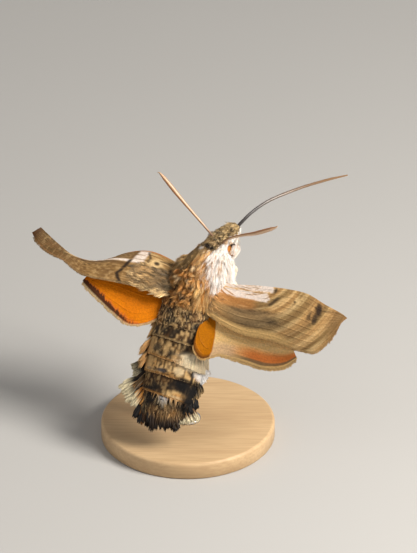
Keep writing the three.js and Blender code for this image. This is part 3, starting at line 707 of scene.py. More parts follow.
# %% Skin
SKIN_END = 0.945
RINGS_END = 0.93
RING_STEP = 0.24
NO_RING = 10.0


def coat_depth(place):
    """How far the skin lies under the coat's surface: shallow on head and abdomen, deep on the thorax."""
    return np.interp(place, [0, 0.10, 0.20, 0.40, 0.50, 0.86, 0.95],
                     [0.22, 0.28, 0.45, 0.45, 0.13, 0.14, 0.30])


def ring_span(place, turn):
    """Millimetres back to the edge of the ring in front and on to the rear edge of the ring itself. Ahead
    of the first ring the way back is long."""
    edges = np.stack([np.interp(turn_from_right(turn), RING_TURNS, row) for row in RING_EDGES], axis=-1)
    edges = np.concatenate([np.full(edges.shape[:-1] + (1,), -1.0), edges,
                            np.full(edges.shape[:-1] + (1,), RINGS_END)], axis=-1)
    ring = np.sum(np.asarray(place)[..., None] > edges, axis=-1).clip(1, len(RING_EDGES) + 1)[..., None]
    start = np.take_along_axis(edges, ring - 1, axis=-1)[..., 0]
    end = np.take_along_axis(edges, ring, axis=-1)[..., 0]
    return (place - start) * BODY_LENGTH, (end - place) * BODY_LENGTH


def ring_step(place, turn):
    """Each ring starts a little smaller behind the edge of the last one and widens to its own edge. Where
    the way back is longer than any ring, there is no step."""
    back, on = ring_span(place, turn)
    return np.where((back < NO_RING) & (on > 0), RING_STEP * on / (back + on + 1e-6), 0)


def skin_point(place, turn, sunk=0.0):
    """A point on the skin, or sunk below it: the body's oval, set in by coat, ring step and sinking."""
    return on_body(place, turn, coat_depth(place) + ring_step(place, turn) + sunk)


# %% Fur and skin materials
def fur_material(name, roughness, sheen, grain):
    """Scales take their colour from the tint, a little lighter and darker from one to the next, with a
    soft sheen across them."""
    material, tree, shader, place = new_material(name)
    speckle = noise_pattern(tree, place, grain, 3.0)
    finish_material(tree, shader, tinted(tree, speckle, 0.80, 1.16, (0.3, 0.7)), speckle,
                    (roughness - 0.08, roughness + 0.10), speckle, 0.35, 0.00003,
                    specular=0.18, sheen=sheen, sheen_roughness=0.45)
    return material


coat_fur = fur_material("body_fur", 0.58, 0.05, 9000.0)
skin_fur = fur_material("skin_scales", 0.75, 0.04, 14000.0)


# %% Make the skin
def make_skin():
    rows, columns = 240, 104
    place, turn = np.meshgrid(np.linspace(0.0, SKIN_END, rows), np.arange(columns) * 360 / columns,
                              indexing="ij")
    points = skin_point(place, turn)
    ends = np.stack([in_body(0.0, 0.0, 0.0, behind=-0.25), in_body(SKIN_END, 0.0, 0.0, behind=0.5)])
    points = np.concatenate([points.reshape(-1, 3), ends])
    place = np.append(place.ravel(), [0, SKIN_END])
    turn = np.append(turn.ravel(), [90, 90])
    tint = paint_body(place, turn, points)
    # Painted shade: the skin shows only in the gaps between hairs, so its colour is darkened, dark colours
    # more than light ones.
    tint = tint * (0.35 + 0.45 * brightness(tint))[:, None]
    faces = outwards(points, tube_faces(rows, columns))
    return add_piece("body_skin", points, faces, skin_fur, tint)


skin = make_skin()

# %% [markdown]
# ## Blades: one shape for hairs, scales and vanes
#
# Every hair, scale and vane of the coat is a blade: a thin closed mesh with a flat three-cornered section,
# which bends as it tapers. Hair tapers to a fine point, and the shortest has no bend; a scale of the tail
# fan or of a side tuft widens outwards and ends blunt, as the real spatula-shaped scales do. Four to ten
# triangles a hair are enough, because the look comes from how many there are and how they lie over one
# another. Flat shading keeps their true tilt to the light.

# %% Build blades
# Each profile gives rows of share of the length and share of the width.
HAIR = np.array([(0.0, 0.80), (0.50, 1.00)])
SHORT_HAIR = np.array([(0.0, 1.00)])
SPATULA = np.array([(0.0, 0.45), (0.55, 0.85), (0.92, 1.00)])
LANCET = np.array([(0.0, 0.60), (0.45, 1.00), (0.86, 0.60)])
CORNERS = np.array([(-0.5, 0.0), (0.5, 0.0), (0.0, 0.30)])
PATCH = 0.003


def grow(name, material, root, way, normal, length, width, root_tint, tip_tint, unwrap,
         profile=HAIR, lift=0.2, curl=-0.1, change=(0.1, 0.7), painted_root_shade=0.55):
    """Blades from roots. A blade's spine at share s is root + length (way s + normal (lift s + curl s^2)),
    and its section is a flat triangle across the way, as wide as the profile says. Its patch of the map
    lies at its root's two shares on the unwrapped skin."""
    count = len(root)
    way = unit(way - normal * np.einsum("ij,ij->i", way, normal)[:, None])
    across = np.cross(way, normal)
    length, width, lift, curl = (np.broadcast_to(value, count)[:, None, None]
                                 for value in (length, width, lift, curl))
    share, wide = profile[None, :, 0, None], profile[None, :, 1, None]
    raised = lift * share + curl * share**2
    spine = root[:, None] + length * (way[:, None] * share + normal[:, None] * raised)
    corner = (across[:, None, None] * CORNERS[None, None, :, :1]
              + normal[:, None, None] * CORNERS[None, None, :, 1:])
    rings = spine[:, :, None] + corner * (width * wide)[..., None]
    tip = root[:, None] + length * (way[:, None] + normal[:, None] * (lift + curl))
    points = np.concatenate([rings.reshape(count, -1, 3), tip], axis=1)

    rows = len(profile)
    sides = np.array([(ring * 3 + a, ring * 3 + (a + 1) % 3, ring * 3 + 3 + (a + 1) % 3, ring * 3 + 3 + a)
                      for ring in range(rows - 1) for a in range(3)], int).reshape(-1, 4)
    last = (rows - 1) * 3
    caps = np.array([(last + a, last + (a + 1) % 3, rows * 3) for a in range(3)] + [(2, 1, 0)])
    start = (np.arange(count) * (rows * 3 + 1))[:, None, None]
    faces = [(sides[None] + start).reshape(-1, 4), (caps[None] + start).reshape(-1, 3)]

    travelled = np.append(np.repeat(profile[:, 0], 3), 1.0)
    beside = np.append(np.tile([0.0, 1.0, 0.5], rows), 0.5)
    start_tint, full_tint = np.broadcast_to(change, (count, 2)).T[..., None]
    tipward = rise(travelled[None], start_tint, full_tint)[..., None]
    tint = root_tint[:, None] * (1 - tipward) + tip_tint[:, None] * tipward
    # Painted shade deep in the coat: each blade darkens towards its root, by as much as the painted root
    # shade says.
    painted_root_shade = np.broadcast_to(painted_root_shade, count)[:, None]
    tint = tint * (painted_root_shade + (1 - painted_root_shade) * rise(travelled, 0, 0.6)[None])[..., None]
    centre = 0.02 + 0.96 * np.clip(np.stack(unwrap, axis=-1), 0, 1)
    flat = centre[:, None] + PATCH * np.stack([beside - 0.5, travelled - 0.5], axis=-1)[None]
    points, tint = points.reshape(-1, 3), np.clip(tint.reshape(-1, 3), 0, 1)
    add_piece(name, points, outwards(points, faces), material, tint, {"OFBake": flat.reshape(-1, 2)},
              smooth=False)


def body_unwrap(place, turn):
    """The two shares of a root on the body's unwrapped skin: round it and along it."""
    return (turn % 360) / 360, np.asarray(place, float)


# %% [markdown]
# ## Coat of the body
#
# Hair doesn't stand evenly: neighbours cling together in locks. So each zone first gets its locks, spread
# evenly over the skin, each with its own lean, length and shade. Then each lock gets its hairs, which start
# round its root and gather towards its tip. Long silky hair covers the flanks of the thorax, a shaggy mane
# its middle and short flat scales the abdomen; head fur is the shortest.

# %% Lie of the coat
rng = np.random.default_rng(17)


def scatter(count, places, turns):
    """Roots spread evenly over a zone: places drawn by the girth there, turns drawn evenly."""
    table = np.linspace(*places, 400)
    girth = np.cumsum(section(table, 1) + section(table, 2))
    place = np.interp(rng.uniform(girth[0], girth[-1], count), girth, table)
    return place, rng.uniform(*turns, count)


def zone_area(places, turns):
    """Square millimetres of a zone: its length times its share of the mean girth."""
    middle = np.mean(places)
    girth = 2 * np.pi * np.sqrt((section(middle, 1) ** 2 + section(middle, 2) ** 2) / 2)
    return (places[1] - places[0]) * BODY_LENGTH * girth * (turns[1] - turns[0]) / 360


def surface_frame(place, turn, sunk):
    """Root on the skin, the way to the tail along it, its outward normal and the way round the body."""
    root = skin_point(place, turn, sunk)
    centre = body_frame(place)[0]
    tailward = unit(on_body(place + 0.006, turn, 0.3) - on_body(place - 0.006, turn, 0.3))
    round_body = unit(on_body(place, turn + 2, 0.3) - on_body(place, turn - 2, 0.3))
    normal = unit(np.cross(tailward, round_body))
    outward = np.einsum("ij,ij->i", normal, root - centre)
    return root, tailward, normal * np.sign(outward)[:, None], round_body


# %% Where the eyes are
def eye_axes(side):
    """The eye's own right, forward and upward axes, turned by its tilt."""
    _, forward, dorsal, right = body_frame(EYE["along"])
    tilt = np.radians(side * EYE["tilt"])
    return np.stack([right * np.cos(tilt) - forward * np.sin(tilt),
                     right * np.sin(tilt) + forward * np.cos(tilt), dorsal])


def eye_centre(side_name, side):
    """The eye's middle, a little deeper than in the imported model."""
    return eye_middles[side_name] - eye_axes(side)[0] * side * EYE["sunk"]


def clear_of_eyes(root, way, normal, length, lift):
    """True where no part of a hair, from root to tip, lies in an eye."""
    keep = np.ones(len(root), bool)
    for side_name, side in SIDES.items():
        axes = eye_axes(side)
        for share in (0.0, 0.3, 0.6, 1.0):
            point = root + (way * share + normal * (lift * share)[:, None]) * length[:, None]
            offset = (point - eye_centre(side_name, side)) @ axes.T
            keep &= np.linalg.norm(offset / np.array(EYE["radii"]), axis=1) > 1
    return keep


print("right eye, mm:", eye_centre("right", 1).round(2))

# %% Grow a zone of the coat
# How deep roots sit under the skin in mm, how far a lock's hairs scatter against its size, and how far
# down a hair, against its length, the body's colour is read for its tip.
ROOT_DEPTH = 0.08
HAIR_SCATTER = 0.42
TIP_COLOUR_FROM = 0.4


def coat(name, count, places, turns, length, width, lift, lock_size=0.55, gather=0.5, sway=0.3,
         fan=(0, 0), curl=-0.12, spread=0.25, contrast=0.35, pale=0.15, ends=(0.70, 1.08), profile=HAIR,
         rings=False):
    """A zone of hair in locks. A hair's way is a mix of its lock's way and of the line from its own root to
    the lock's tip; the share of the second is how much the lock gathers. Fan gives a turn that the locks
    spread out from, and how fast. With rings, a hair ends no more than about a fifth of a millimetre past the
    rear edge of its own ring. A hair's tip has the colour of the body a little behind its root, with more or
    less cream in it."""
    lock_count = max(int(zone_area(places, turns) / lock_size**2), 8)
    lock_place, lock_turn = scatter(lock_count, places, turns)
    lock_root, tailward, _, round_body = surface_frame(lock_place, lock_turn, ROOT_DEPTH)
    swing = sway * (2.4 * (noise(lock_root, 0.9, 5) - 0.5) + rng.normal(0, 0.7, lock_count))
    swing = swing + fan[1] * (lock_turn - fan[0]) / 90
    lock_way = unit(tailward + round_body * swing[:, None])
    lock_length = length(lock_place, lock_turn) if callable(length) else np.full(lock_count, length)
    lock_length = lock_length * rng.uniform(1 - spread, 1 + spread, lock_count)
    lock_lift = lift * rng.uniform(1 - 1.5 * spread, 1 + 2 * spread, lock_count)
    lock_shade = np.clip(rng.normal(1, contrast, lock_count), 0.40, 1.7)

    lock = np.arange(count) % lock_count
    aside = rng.normal(0, HAIR_SCATTER * lock_size, (count, 2))
    place = np.clip(lock_place[lock] + aside[:, 0] / BODY_LENGTH, 0.001, SKIN_END - 0.002)
    turn = lock_turn[lock] + np.degrees(aside[:, 1] / np.maximum(section(place, 1), 1.0))
    root, _, normal, _ = surface_frame(place, turn, ROOT_DEPTH)
    size = lock_length[lock] * rng.uniform(*ends, count)
    if rings:
        room = np.maximum(ring_span(place, turn)[1], 0.12)
        size = np.minimum(size, room + rng.uniform(0.02, 0.10, count))
    lock_tip = lock_root[lock] + lock_way[lock] * lock_length[lock][:, None]
    way = unit(unit(lock_tip - root) * gather + lock_way[lock] * (1 - gather)
               + rng.normal(0, 0.06, (count, 3)))
    raised = np.clip(lock_lift[lock] * rng.uniform(0.75, 1.25, count), 0.02, 0.95)
    seen_place = place + rng.normal(0, 0.0012, count)
    seen_turn = turn + rng.normal(0, 0.8, count)
    shade = (lock_shade[lock] * rng.uniform(0.75, 1.25, count))[:, None]
    root_tint = paint_body(seen_place, seen_turn, root)
    light = brightness(root_tint)
    shade = blend(shade, 1.0, np.clip(0.9 * light[:, None], 0, 0.70))
    behind = TIP_COLOUR_FROM * size
    tip_tint = paint_body(seen_place + behind / BODY_LENGTH, seen_turn, root + way * behind[:, None])
    tip_tint = over(tip_tint, FUR["cream"], pale * rng.uniform(0, 2, count) * np.clip(4 * light, 0, 1))
    keep = clear_of_eyes(root, way, normal, size, raised)
    columns = [values[keep] for values in (root, way, normal, size, root_tint * shade, tip_tint * shade,
                                           raised, turn, place, light)]
    root, way, normal, size, root_tint, tip_tint, raised, turn, place, light = columns
    # Dark hair gets more painted shade at its root than light hair.
    grow(name, coat_fur, root, way, normal, size, width * rng.uniform(0.7, 1.3, len(root)),
         root_tint, tip_tint, body_unwrap(place, turn), profile=profile, lift=raised, curl=curl,
         painted_root_shade=np.clip(0.30 + 0.85 * light, 0, 0.95))


# %% Lengths of the coat
def head_length(place, turn):
    """Short above, longer in front, low on the cheeks and round the eyes."""
    away = np.abs(from_back(place, turn))
    length = np.maximum(blend(0.42, 0.80, rise(away, 50, 90)), blend(0.75, 0.40, rise(place, 0.01, 0.05)))
    return length * (1 - 0.6 * spot(place, turn_from_right(turn), (0.108, 24), (0.030, 24)))


def mane_length(place, turn):
    """Shaggy, and shorter where the mane ends over the waist."""
    return blend(0.80, 0.50, rise(place, 0.36, 0.43))


# %% Grow the coat
coat("coat_head", 10000, (0.0, 0.168), (0, 360), head_length, 0.065, 0.48, lock_size=0.24, gather=0.5,
     sway=0.6, spread=0.35, contrast=0.32, pale=0.22)
coat("coat_velvet", 14000, (0.158, 0.300), (84, 190), 0.42, 0.085, 0.24, lock_size=0.24, gather=0.3,
     sway=0.12, contrast=0.14, profile=SHORT_HAIR)
coat("coat_shoulder", 6000, (0.158, 0.300), (54, 98), 0.9, 0.065, 0.26, lock_size=0.30, gather=0.5,
     sway=0.18, contrast=0.22, spread=0.2)
coat("coat_shoulder_left", 2200, (0.225, 0.325), (128, 174), 1.25, 0.080, 0.90, lock_size=0.30, gather=0.6,
     sway=0.5, contrast=0.40, spread=0.3, pale=0.20, curl=-0.38)
coat("coat_mane", 12500, (0.262, 0.440), (56, 190), mane_length, 0.075, 0.52, lock_size=0.30, gather=0.75,
     sway=1.1, contrast=0.45, spread=0.36, pale=0.14)
coat("coat_flank_right", 40000, (0.155, 0.400), (-75, 66), 1.55, 0.075, 0.24, lock_size=0.30, gather=0.55,
     sway=0.20, fan=(52, 0.75), contrast=0.26, spread=0.28, curl=-0.04, pale=0.05, profile=SHORT_HAIR)
coat("coat_breast", 5500, (0.160, 0.45), (186, 290), 1.6, 0.100, 0.32, lock_size=0.50, gather=0.4,
     sway=0.2, contrast=0.16)
coat("coat_waist", 5000, (0.42, 0.50), (0, 360), 0.60, 0.075, 0.30, lock_size=0.28, gather=0.5, sway=0.5)
for half_name, half_places in (("front", (0.47, 0.690)), ("rear", (0.66, 0.900))):
    coat(f"coat_abdomen_{half_name}", 33000, half_places, (-20, 200), 0.46, 0.080, 0.26, lock_size=0.20,
         gather=0.3, sway=0.22, contrast=0.22, profile=SHORT_HAIR, rings=True)
coat("coat_belly", 12000, (0.45, 0.900), (195, 345), 0.75, 0.130, 0.22, lock_size=0.30, gather=0.3,
     sway=0.10, contrast=0.14, profile=SHORT_HAIR, rings=True)

# %% [markdown]
# ## Lappets, side tufts and tail fan
#
# What people notice first behind the wings is the broad tail and the tufts at the sides of the abdomen.
# They are not feathers but very long scales with blunt ends, black at the root and white or tan outwards.
# The scales cling together in brushes. Each tuft is a row of brushes: its first ones stand outwards and
# its last ones point to the tail. Flat cream lappets of straight hair lie ahead of the tufts.

# %% Lappets and tail covers
# Places, turns, length and curl of the four tufts of hair on the left.
LEFT_LAPPETS = [
    ((0.520, 0.585), (156, 204), 0.95, -0.45), ((0.604, 0.634), (156, 206), 1.80, -0.24),
    ((0.662, 0.700), (156, 206), 1.60, -0.24), ((0.768, 0.800), (164, 206), 1.70, -0.20),
]


def lappet_length(place, turn):
    """As long as it takes to end on the lappet's edge, and next to nothing ahead of the lappet."""
    start = np.interp(turn, [0, 6, 54, 76, 84], [0.622, 0.626, 0.640, 0.656, 0.674])
    end = np.interp(turn, [0, 26, 61, 84], [0.718, 0.715, 0.704, 0.690])
    return np.where(place > start, (end - place) * BODY_LENGTH, 0.12)


coat("lappet_right", 9000, (0.622, 0.684), (-28, 84), lappet_length, 0.080, 0.24, lock_size=0.20, gather=0.2,
     sway=0.02, contrast=0.12, spread=0.02, curl=-0.04, ends=(0.95, 1.02), profile=SHORT_HAIR)
for number, (places, turns, length, curl) in enumerate(LEFT_LAPPETS, start=1):
    coat(f"lappet_left_{number}", 2200, places, turns, length, 0.085, 0.95, lock_size=0.20, gather=0.2,
         sway=0.12, contrast=0.16, spread=0.10, curl=curl, ends=(0.86, 1.04))
coat("tail_covers", 6000, (0.850, 0.920), (0, 360), 1.1, 0.080, 0.24, lock_size=0.32, gather=0.5, sway=0.22,
     contrast=0.32)

# %% Rows of the tufts
# One row for each tuft: side, first and last place, how far its roots lie in from the edge at both ends,
# angles from the tail's way, length, brushes, root and tip colour, where along a scale the tip colour
# begins and is full.
TUFTS = [
    (-1, 0.700, 0.720, 0.8, 0.8, 60, 38, 2.9, 5, "black", "ivory", (0.86, 0.98)),
    (-1, 0.705, 0.780, 0.9, 1.0, 52, 22, 2.6, 7, "black", "dark", (0.40, 0.90)),
    (-1, 0.764, 0.806, 0.8, 1.0, 53, 24, 4.5, 8, "black", "ivory", (0.72, 0.85)),
    (-1, 0.786, 0.818, 0.9, 1.2, 46, 18, 3.7, 7, "amber", "ivory", (0.80, 0.94)),
    (-1, 0.770, 0.820, 0.9, 1.5, 46, 14, 3.0, 8, "amber", "orange", (0.15, 0.60)),
    (1, 0.676, 0.706, 1.2, 1.0, 58, 20, 1.95, 7, "ivory", "white", (0.15, 0.50)),
    (1, 0.745, 0.790, 0.9, 1.0, 34, 14, 1.90, 6, "black", "sand", (0.88, 1.00)),
    (1, 0.800, 0.845, 0.8, 1.0, 28, 12, 2.3, 6, "black", "black", (0.40, 0.90)),
]
TAIL_TUFTS = [
    (-1, 0.880, 0.910, 0.7, 1.0, 20, 2, 2.9, 5, "dark", "black", (0.20, 0.50)),
    (1, 0.860, 0.895, 0.5, 2.5, 46, 16, 2.55, 10, "brown", "ivory", (0.52, 0.86)),
]
print("tufts:", len(TUFTS) + len(TAIL_TUFTS))


# %% Brushes of long scales
SCALES_A_BRUSH = 50


def brushes(root, way, normal, size, root_tint, tip_tint, change, place, turn, width=0.24, gather=0.34):
    """Each brush's scales start round its root and lean towards its tip; their ends stay a little apart,
    which rounds the brush."""
    count = len(root) * SCALES_A_BRUSH
    brush = np.repeat(np.arange(len(root)), SCALES_A_BRUSH)
    aside = unit(np.cross(way, normal))[brush] * rng.uniform(-width, width, count)[:, None]
    layer = normal[brush] * rng.normal(0, 0.12, count)[:, None]
    start = root[brush] + aside + layer + way[brush] * rng.uniform(-0.25, 0.15, count)[:, None]
    tip = root[brush] + way[brush] * size[brush][:, None] + aside * 0.9
    scale_way = unit(unit(tip - start) * (1 - gather) + unit(tip - aside - start) * gather
                     + rng.normal(0, 0.035, (count, 3)))
    length = size[brush] * rng.uniform(0.84, 1.03, count)
    shade = rng.uniform(0.65, 1.10, count)[:, None] * rng.uniform(0.80, 1.05, len(root))[brush][:, None]
    return (start, scale_way, normal[brush], length, root_tint[brush] * shade, tip_tint[brush] * shade,
            change[brush], place[brush], turn[brush])


def grow_brushes(name, columns, profile=SPATULA):
    """One piece from the columns that brushes gives."""
    root, way, normal, size, root_tint, tip_tint, change, place, turn = columns
    count = len(root)
    grow(name, coat_fur, root, way, normal, size, rng.uniform(0.12, 0.20, count), root_tint,
         tip_tint, body_unwrap(place, turn), profile=profile, lift=rng.normal(0.03, 0.03, count),
         curl=rng.normal(-0.03, 0.03, count), change=change, painted_root_shade=0.8)


# %% Tufts from brushes
def tuft(side, first, last, inset_first, inset_last, outward, tailward, length, count, root_name, tip_name,
         change):
    """A row of brushes, in two layers: place, inset and angle go together from the first to the last."""
    share = np.tile(np.linspace(0, 1, count), 2)
    layer = np.repeat([0.30, -0.30], count)
    share = np.clip(share + rng.normal(0, 0.3 / count, 2 * count), 0, 1)
    place = blend(first, last, share)
    angle = np.radians(blend(outward, tailward, share) + rng.normal(0, 2, 2 * count))[:, None]
    _, forward, dorsal, right = body_frame(place)
    way = unit(-forward * np.cos(angle) + right * side * np.sin(angle) + dorsal * (0.22 * layer[:, None]))
    root = in_body(place, side * (section(place, 1) - blend(inset_first, inset_last, share)), layer)
    size = length * rng.uniform(0.88, 1.04, 2 * count) * (1 - 0.10 * (layer < 0))
    tints = [np.tile(FUR[name], (2 * count, 1)) for name in (root_name, tip_name)]
    return brushes(root, way, dorsal * np.sign(layer)[:, None], size, *tints, np.tile(change, (2 * count, 1)),
                   place, 90 - side * 90 + 8 * layer)


def grow_tufts(name, specs):
    columns = [np.concatenate(column) for column in zip(*(tuft(*spec) for spec in specs))]
    grow_brushes(name, columns)


grow_tufts("side_tufts", TUFTS)

# %% Tail fan
TAIL_STEER = 12
TAIL_FAN = 14
TAIL_TIPS = ([-1.0, -0.75, -0.2, 0.3, 0.6, 1.0], [0.978, 1.0, 1.003, 0.995, 0.985, 0.950])
TAIL_NOTCHES = (-0.16, 0.22)
TAIL_BRUSHES = 15
TAIL_LAYERS = [1.0, 0.5, 0.0, -0.5, -1.0]
# Where along a scale its tip colour starts and is full, at the fan's left edge and at its middle.
TAIL_CHANGE = ((0.12, 0.30), (0.34, 0.56))


def make_tail():
    """Brushes fan out from the end of the body in five layers, which make a lens-shaped bundle. A brush's
    length is the way from its root to where the fan's outline ends on its line."""
    spread = np.linspace(-1, 0.68, TAIL_BRUSHES)
    across = np.concatenate([spread + rng.normal(0, 0.05, TAIL_BRUSHES) for _ in TAIL_LAYERS])
    layer = np.repeat(TAIL_LAYERS, TAIL_BRUSHES)
    count = len(across)
    place = rng.uniform(0.885, 0.935, count)
    height = 0.85 * layer * np.sqrt(np.clip(1 - (0.85 * across) ** 2, 0, 1))
    _, forward, dorsal, right = body_frame(place)
    angle = np.radians(TAIL_STEER + TAIL_FAN * across + rng.normal(0, 2, count))[:, None]
    way = unit(-forward * np.cos(angle) + right * np.sin(angle) + dorsal * (0.10 * layer[:, None]))
    root = in_body(place, 2.75 * across, height)
    tips = np.interp(across, *TAIL_TIPS) + rng.normal(0, 0.009, count) - 0.010 * np.abs(layer)
    for notch in TAIL_NOTCHES:
        tips = tips - 0.022 * np.exp(-(((across - notch) / 0.07) ** 2))
    size = (tips - place) * BODY_LENGTH / np.cos(angle[:, 0])
    root_tint = over(FUR["brown"], FUR["tan"], rng.uniform(0, 1, count))
    tip_tint = over(FUR["black"], FUR["dark"], 0.7 * rng.uniform(0, 1, count))
    tip_tint = over(tip_tint, FUR["amber"] * 0.7, 0.5 * (1 - rise(across, -1.0, -0.8)))
    turn = np.where(layer >= 0, 90 - 80 * across, 270 + 80 * across)
    normal = dorsal * np.where(layer >= 0, 1.0, -1.0)[:, None]
    change = np.stack([np.interp(across, [-0.6, -0.2], ends) for ends in TAIL_CHANGE], axis=-1)
    columns = brushes(root, way, normal, size, root_tint, tip_tint, change, place, turn, width=0.34,
                      gather=0.75)
    grow_brushes("tail_scales", columns, profile=LANCET)


make_tail()
grow_tufts("tail_tufts", TAIL_TUFTS)
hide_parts("head", "thorax", "abdomen", "tail_fan")

# %% [markdown]
# ## Wings
#
# A wing is a thin sheet between a leading and a trailing edge, bowed between them. Two numbers give a
# point on it: how far along the edges it is, and how far across from front to rear. Veins are ridges in
# the sheet itself, so nothing has to be glued on, and columns of points crowd together at each vein to
# catch them. The markings are functions of the same two numbers, built up from soft patches, lines and
# noise that is drawn out along or across the wing, as rows of scales are.

# %% Edges and veins
WING_EDGES = {
    "forewing_left": {
        "leading": [(-1.60, 1.90, -1.00), (-4.00, 3.50, -2.20), (-7.00, 4.66, -3.60),
                    (-10.14, 4.42, -4.90), (-13.34, 3.25, -5.70), (-16.70, 3.55, -5.60),
                    (-19.40, 5.60, -4.90), (-21.90, 7.95, -3.90)],
        "trailing": [(-3.20, -1.60, 1.20), (-5.90, -1.10, 1.70), (-8.50, -0.35, 1.80), (-11.23, 0.30, 1.70),
                     (-14.86, 1.00, 1.20), (-16.64, 1.65, 0.40), (-18.70, 3.35, -1.00), (-20.96, 4.55, -2.20),
                     (-22.55, 6.20, -3.10), (-23.10, 7.20, -3.50)],
        "camber": 0.13, "crest": 1.25,
    },
    "forewing_right": {
        "leading": [(1.60, 0.90, 1.40), (3.84, 0.20, 2.70), (8.22, -0.10, 5.60), (12.19, -0.60, 8.40),
                    (14.60, -1.20, 10.20), (17.00, -2.65, 12.10), (19.30, -3.95, 13.90),
                    (19.90, -4.45, 14.40)],
        "trailing": [(0.20, -3.40, 2.60), (2.20, -4.90, 4.20), (5.48, -6.70, 6.20), (9.60, -7.60, 9.00),
                     (13.20, -8.90, 11.60), (15.50, -9.20, 13.00), (17.20, -7.80, 14.00),
                     (18.70, -5.90, 14.60)],
        "camber": 0.13, "crest": 1.1,
    },
    "hindwing_left": {
        "leading": [(-2.60, -1.60, -0.90), (-5.80, -0.60, -0.90), (-9.50, 0.70, -0.70), (-13.00, 1.25, -0.60),
                    (-15.60, 1.15, -0.60)],
        "trailing": [(-3.50, -3.20, -0.20), (-5.80, -4.50, 0.20), (-7.60, -5.30, 0.30), (-9.80, -5.40, 0.20),
                     (-12.00, -3.70, 0.00), (-14.50, -1.20, -0.20), (-16.10, 0.60, -0.30)],
        "camber": 0.06, "crest": 1.0,
    },
    "hindwing_right": {
        "leading": [(0.60, -3.00, 1.60), (2.60, -4.60, 2.80), (6.20, -6.10, 5.00), (10.00, -7.20, 7.60),
                    (12.60, -8.40, 9.40)],
        "trailing": [(-0.20, -5.40, 3.20), (-0.90, -8.70, 3.90), (0.10, -10.10, 4.00), (2.20, -9.70, 4.50),
                     (5.50, -10.50, 6.00), (9.00, -11.50, 8.00), (11.50, -11.20, 9.20),
                     (13.20, -10.00, 9.80)],
        "camber": 0.06, "crest": 1.0,
    },
}
# Each vein lies so far across and starts so far along.
FORE_VEINS = [(0.06, 0), (0.15, 0), (0.25, 0.36), (0.35, 0.5), (0.46, 0.5), (0.57, 0.5), (0.68, 0),
              (0.80, 0.28), (0.91, 0)]
HIND_VEINS = [(0.12, 0), (0.27, 0), (0.42, 0.5), (0.57, 0.5), (0.72, 0), (0.88, 0)]
print("veins: fore", len(FORE_VEINS), "hind", len(HIND_VEINS))

# %% Wing sheets
MEMBRANE = {"half": 0.045, "root": 0.16, "vein_height": 0.05, "vein_width": 0.008}
WING_ROWS = 180


def wing_columns(veins):
    """Shares across the wing: evenly spaced, and crowded at each vein."""
    near = [middle + step * MEMBRANE["vein_width"]
            for middle, _ in veins for step in (-1.6, -0.7, 0, 0.7, 1.6)]
    return np.unique(np.concatenate([np.linspace(0, 1, 52), near]))


def wing_middle(edges, rows, across):
    """The middle surface: each row runs from the leading to the trailing edge, bowed along the normal by
    camber times the chord times the sine of half a turn times across to the power of the crest."""
    front, rear = smooth_curve(edges["leading"], rows), smooth_curve(edges["trailing"], rows)
    chord = rear - front
    span = unit(unit(np.gradient(front, axis=0)) + unit(np.gradient(rear, axis=0)))
    normal = unit(np.cross(span, chord))
    normal = np.where(normal[:, 2:] < 0, -normal, normal)
    bow = edges["camber"] * np.linalg.norm(chord, axis=1)[:, None] * np.sin(np.pi * across ** edges["crest"])
    return front[:, None] + chord[:, None] * across[None, :, None] + normal[:, None] * bow[..., None]


def sheet_normals(middle):
    """The cross product of the two directions of the grid, facing out from the back."""
    normal = unit(np.cross(np.gradient(middle, axis=0), np.gradient(middle, axis=1)))
    return np.where(normal[..., 2:] < 0, -normal, normal)


def vein_ridges(along, across, veins):
    """The height of the veins from 0 to 1: a bell curve across each one, from where it starts outwards."""
    height = np.zeros_like(along)
    for middle, start in veins:
        bell = np.exp(-(((across - middle) / MEMBRANE["vein_width"]) ** 2))
        height = np.maximum(height, bell * rise(along, start - 0.02, start + 0.05))
    return height


def sheet_faces(rows, columns):
    """Both faces of a grid and the strip of quads that closes them round the rim."""
    row, column = np.meshgrid(np.arange(rows - 1), np.arange(columns - 1), indexing="ij")
    a = (row * columns + column).ravel()
    top = np.stack([a, a + 1, a + columns + 1, a + columns], axis=-1)
    under = rows * columns
    rim = np.concatenate([
        np.arange(columns), np.arange(2, rows + 1) * columns - 1,
        (rows - 1) * columns + np.arange(columns - 2, -1, -1), np.arange(rows - 2, 0, -1) * columns,
    ])
    after = np.roll(rim, -1)
    strip = np.stack([rim, rim + under, after + under, after], axis=-1)
    return [np.concatenate([top, top[:, ::-1] + under, strip])]


# %% Wing colours
# All four painters are called alike, with the points of the middle surface, which two of them need.
WING = {
    "tan": tone(160, 124, 78), "pale": tone(208, 176, 126), "brown": tone(104, 76, 46),
    "dark": tone(44, 34, 27), "painted_highlight": tone(232, 216, 204), "drab": tone(138, 106, 64),
    "grey": tone(112, 94, 68), "olive": tone(118, 96, 60), "orange": tone(196, 110, 2),
    "deep": tone(184, 98, 0), "oval": tone(160, 94, 0), "rust": tone(188, 96, 36),
    "glow": tone(190, 112, 48), "buff": tone(196, 160, 104), "pink": tone(192, 158, 120),
    "margin": tone(58, 34, 20), "fringe": tone(196, 168, 124),
}
WING.update(deep_olive=0.30 * WING["olive"], deep_grey=0.75 * WING["grey"], dull_buff=0.85 * WING["buff"])
ARC_MIDDLE = (7.2, 3.4)


def streaks(along, across, length, width, seed):
    """Smooth noise whose cells are so many millimetres long and wide on a wing 20 by 8 mm."""
    return noise(np.stack([along * 20 / length, across * 8 / width], axis=-1), 1.0, seed)


def arcs(middle, length, width, seed):
    """Smooth noise drawn out along circles about one point above the right wings, as wide feathery rows
    of scales lie on them."""
    x, y = middle[..., 0] - ARC_MIDDLE[0], middle[..., 1] - ARC_MIDDLE[1]
    radius, angle = np.hypot(x, y), np.arctan2(x, -y)
    return noise(np.stack([radius / width, angle * 9 / length], axis=-1), 1.0, seed)


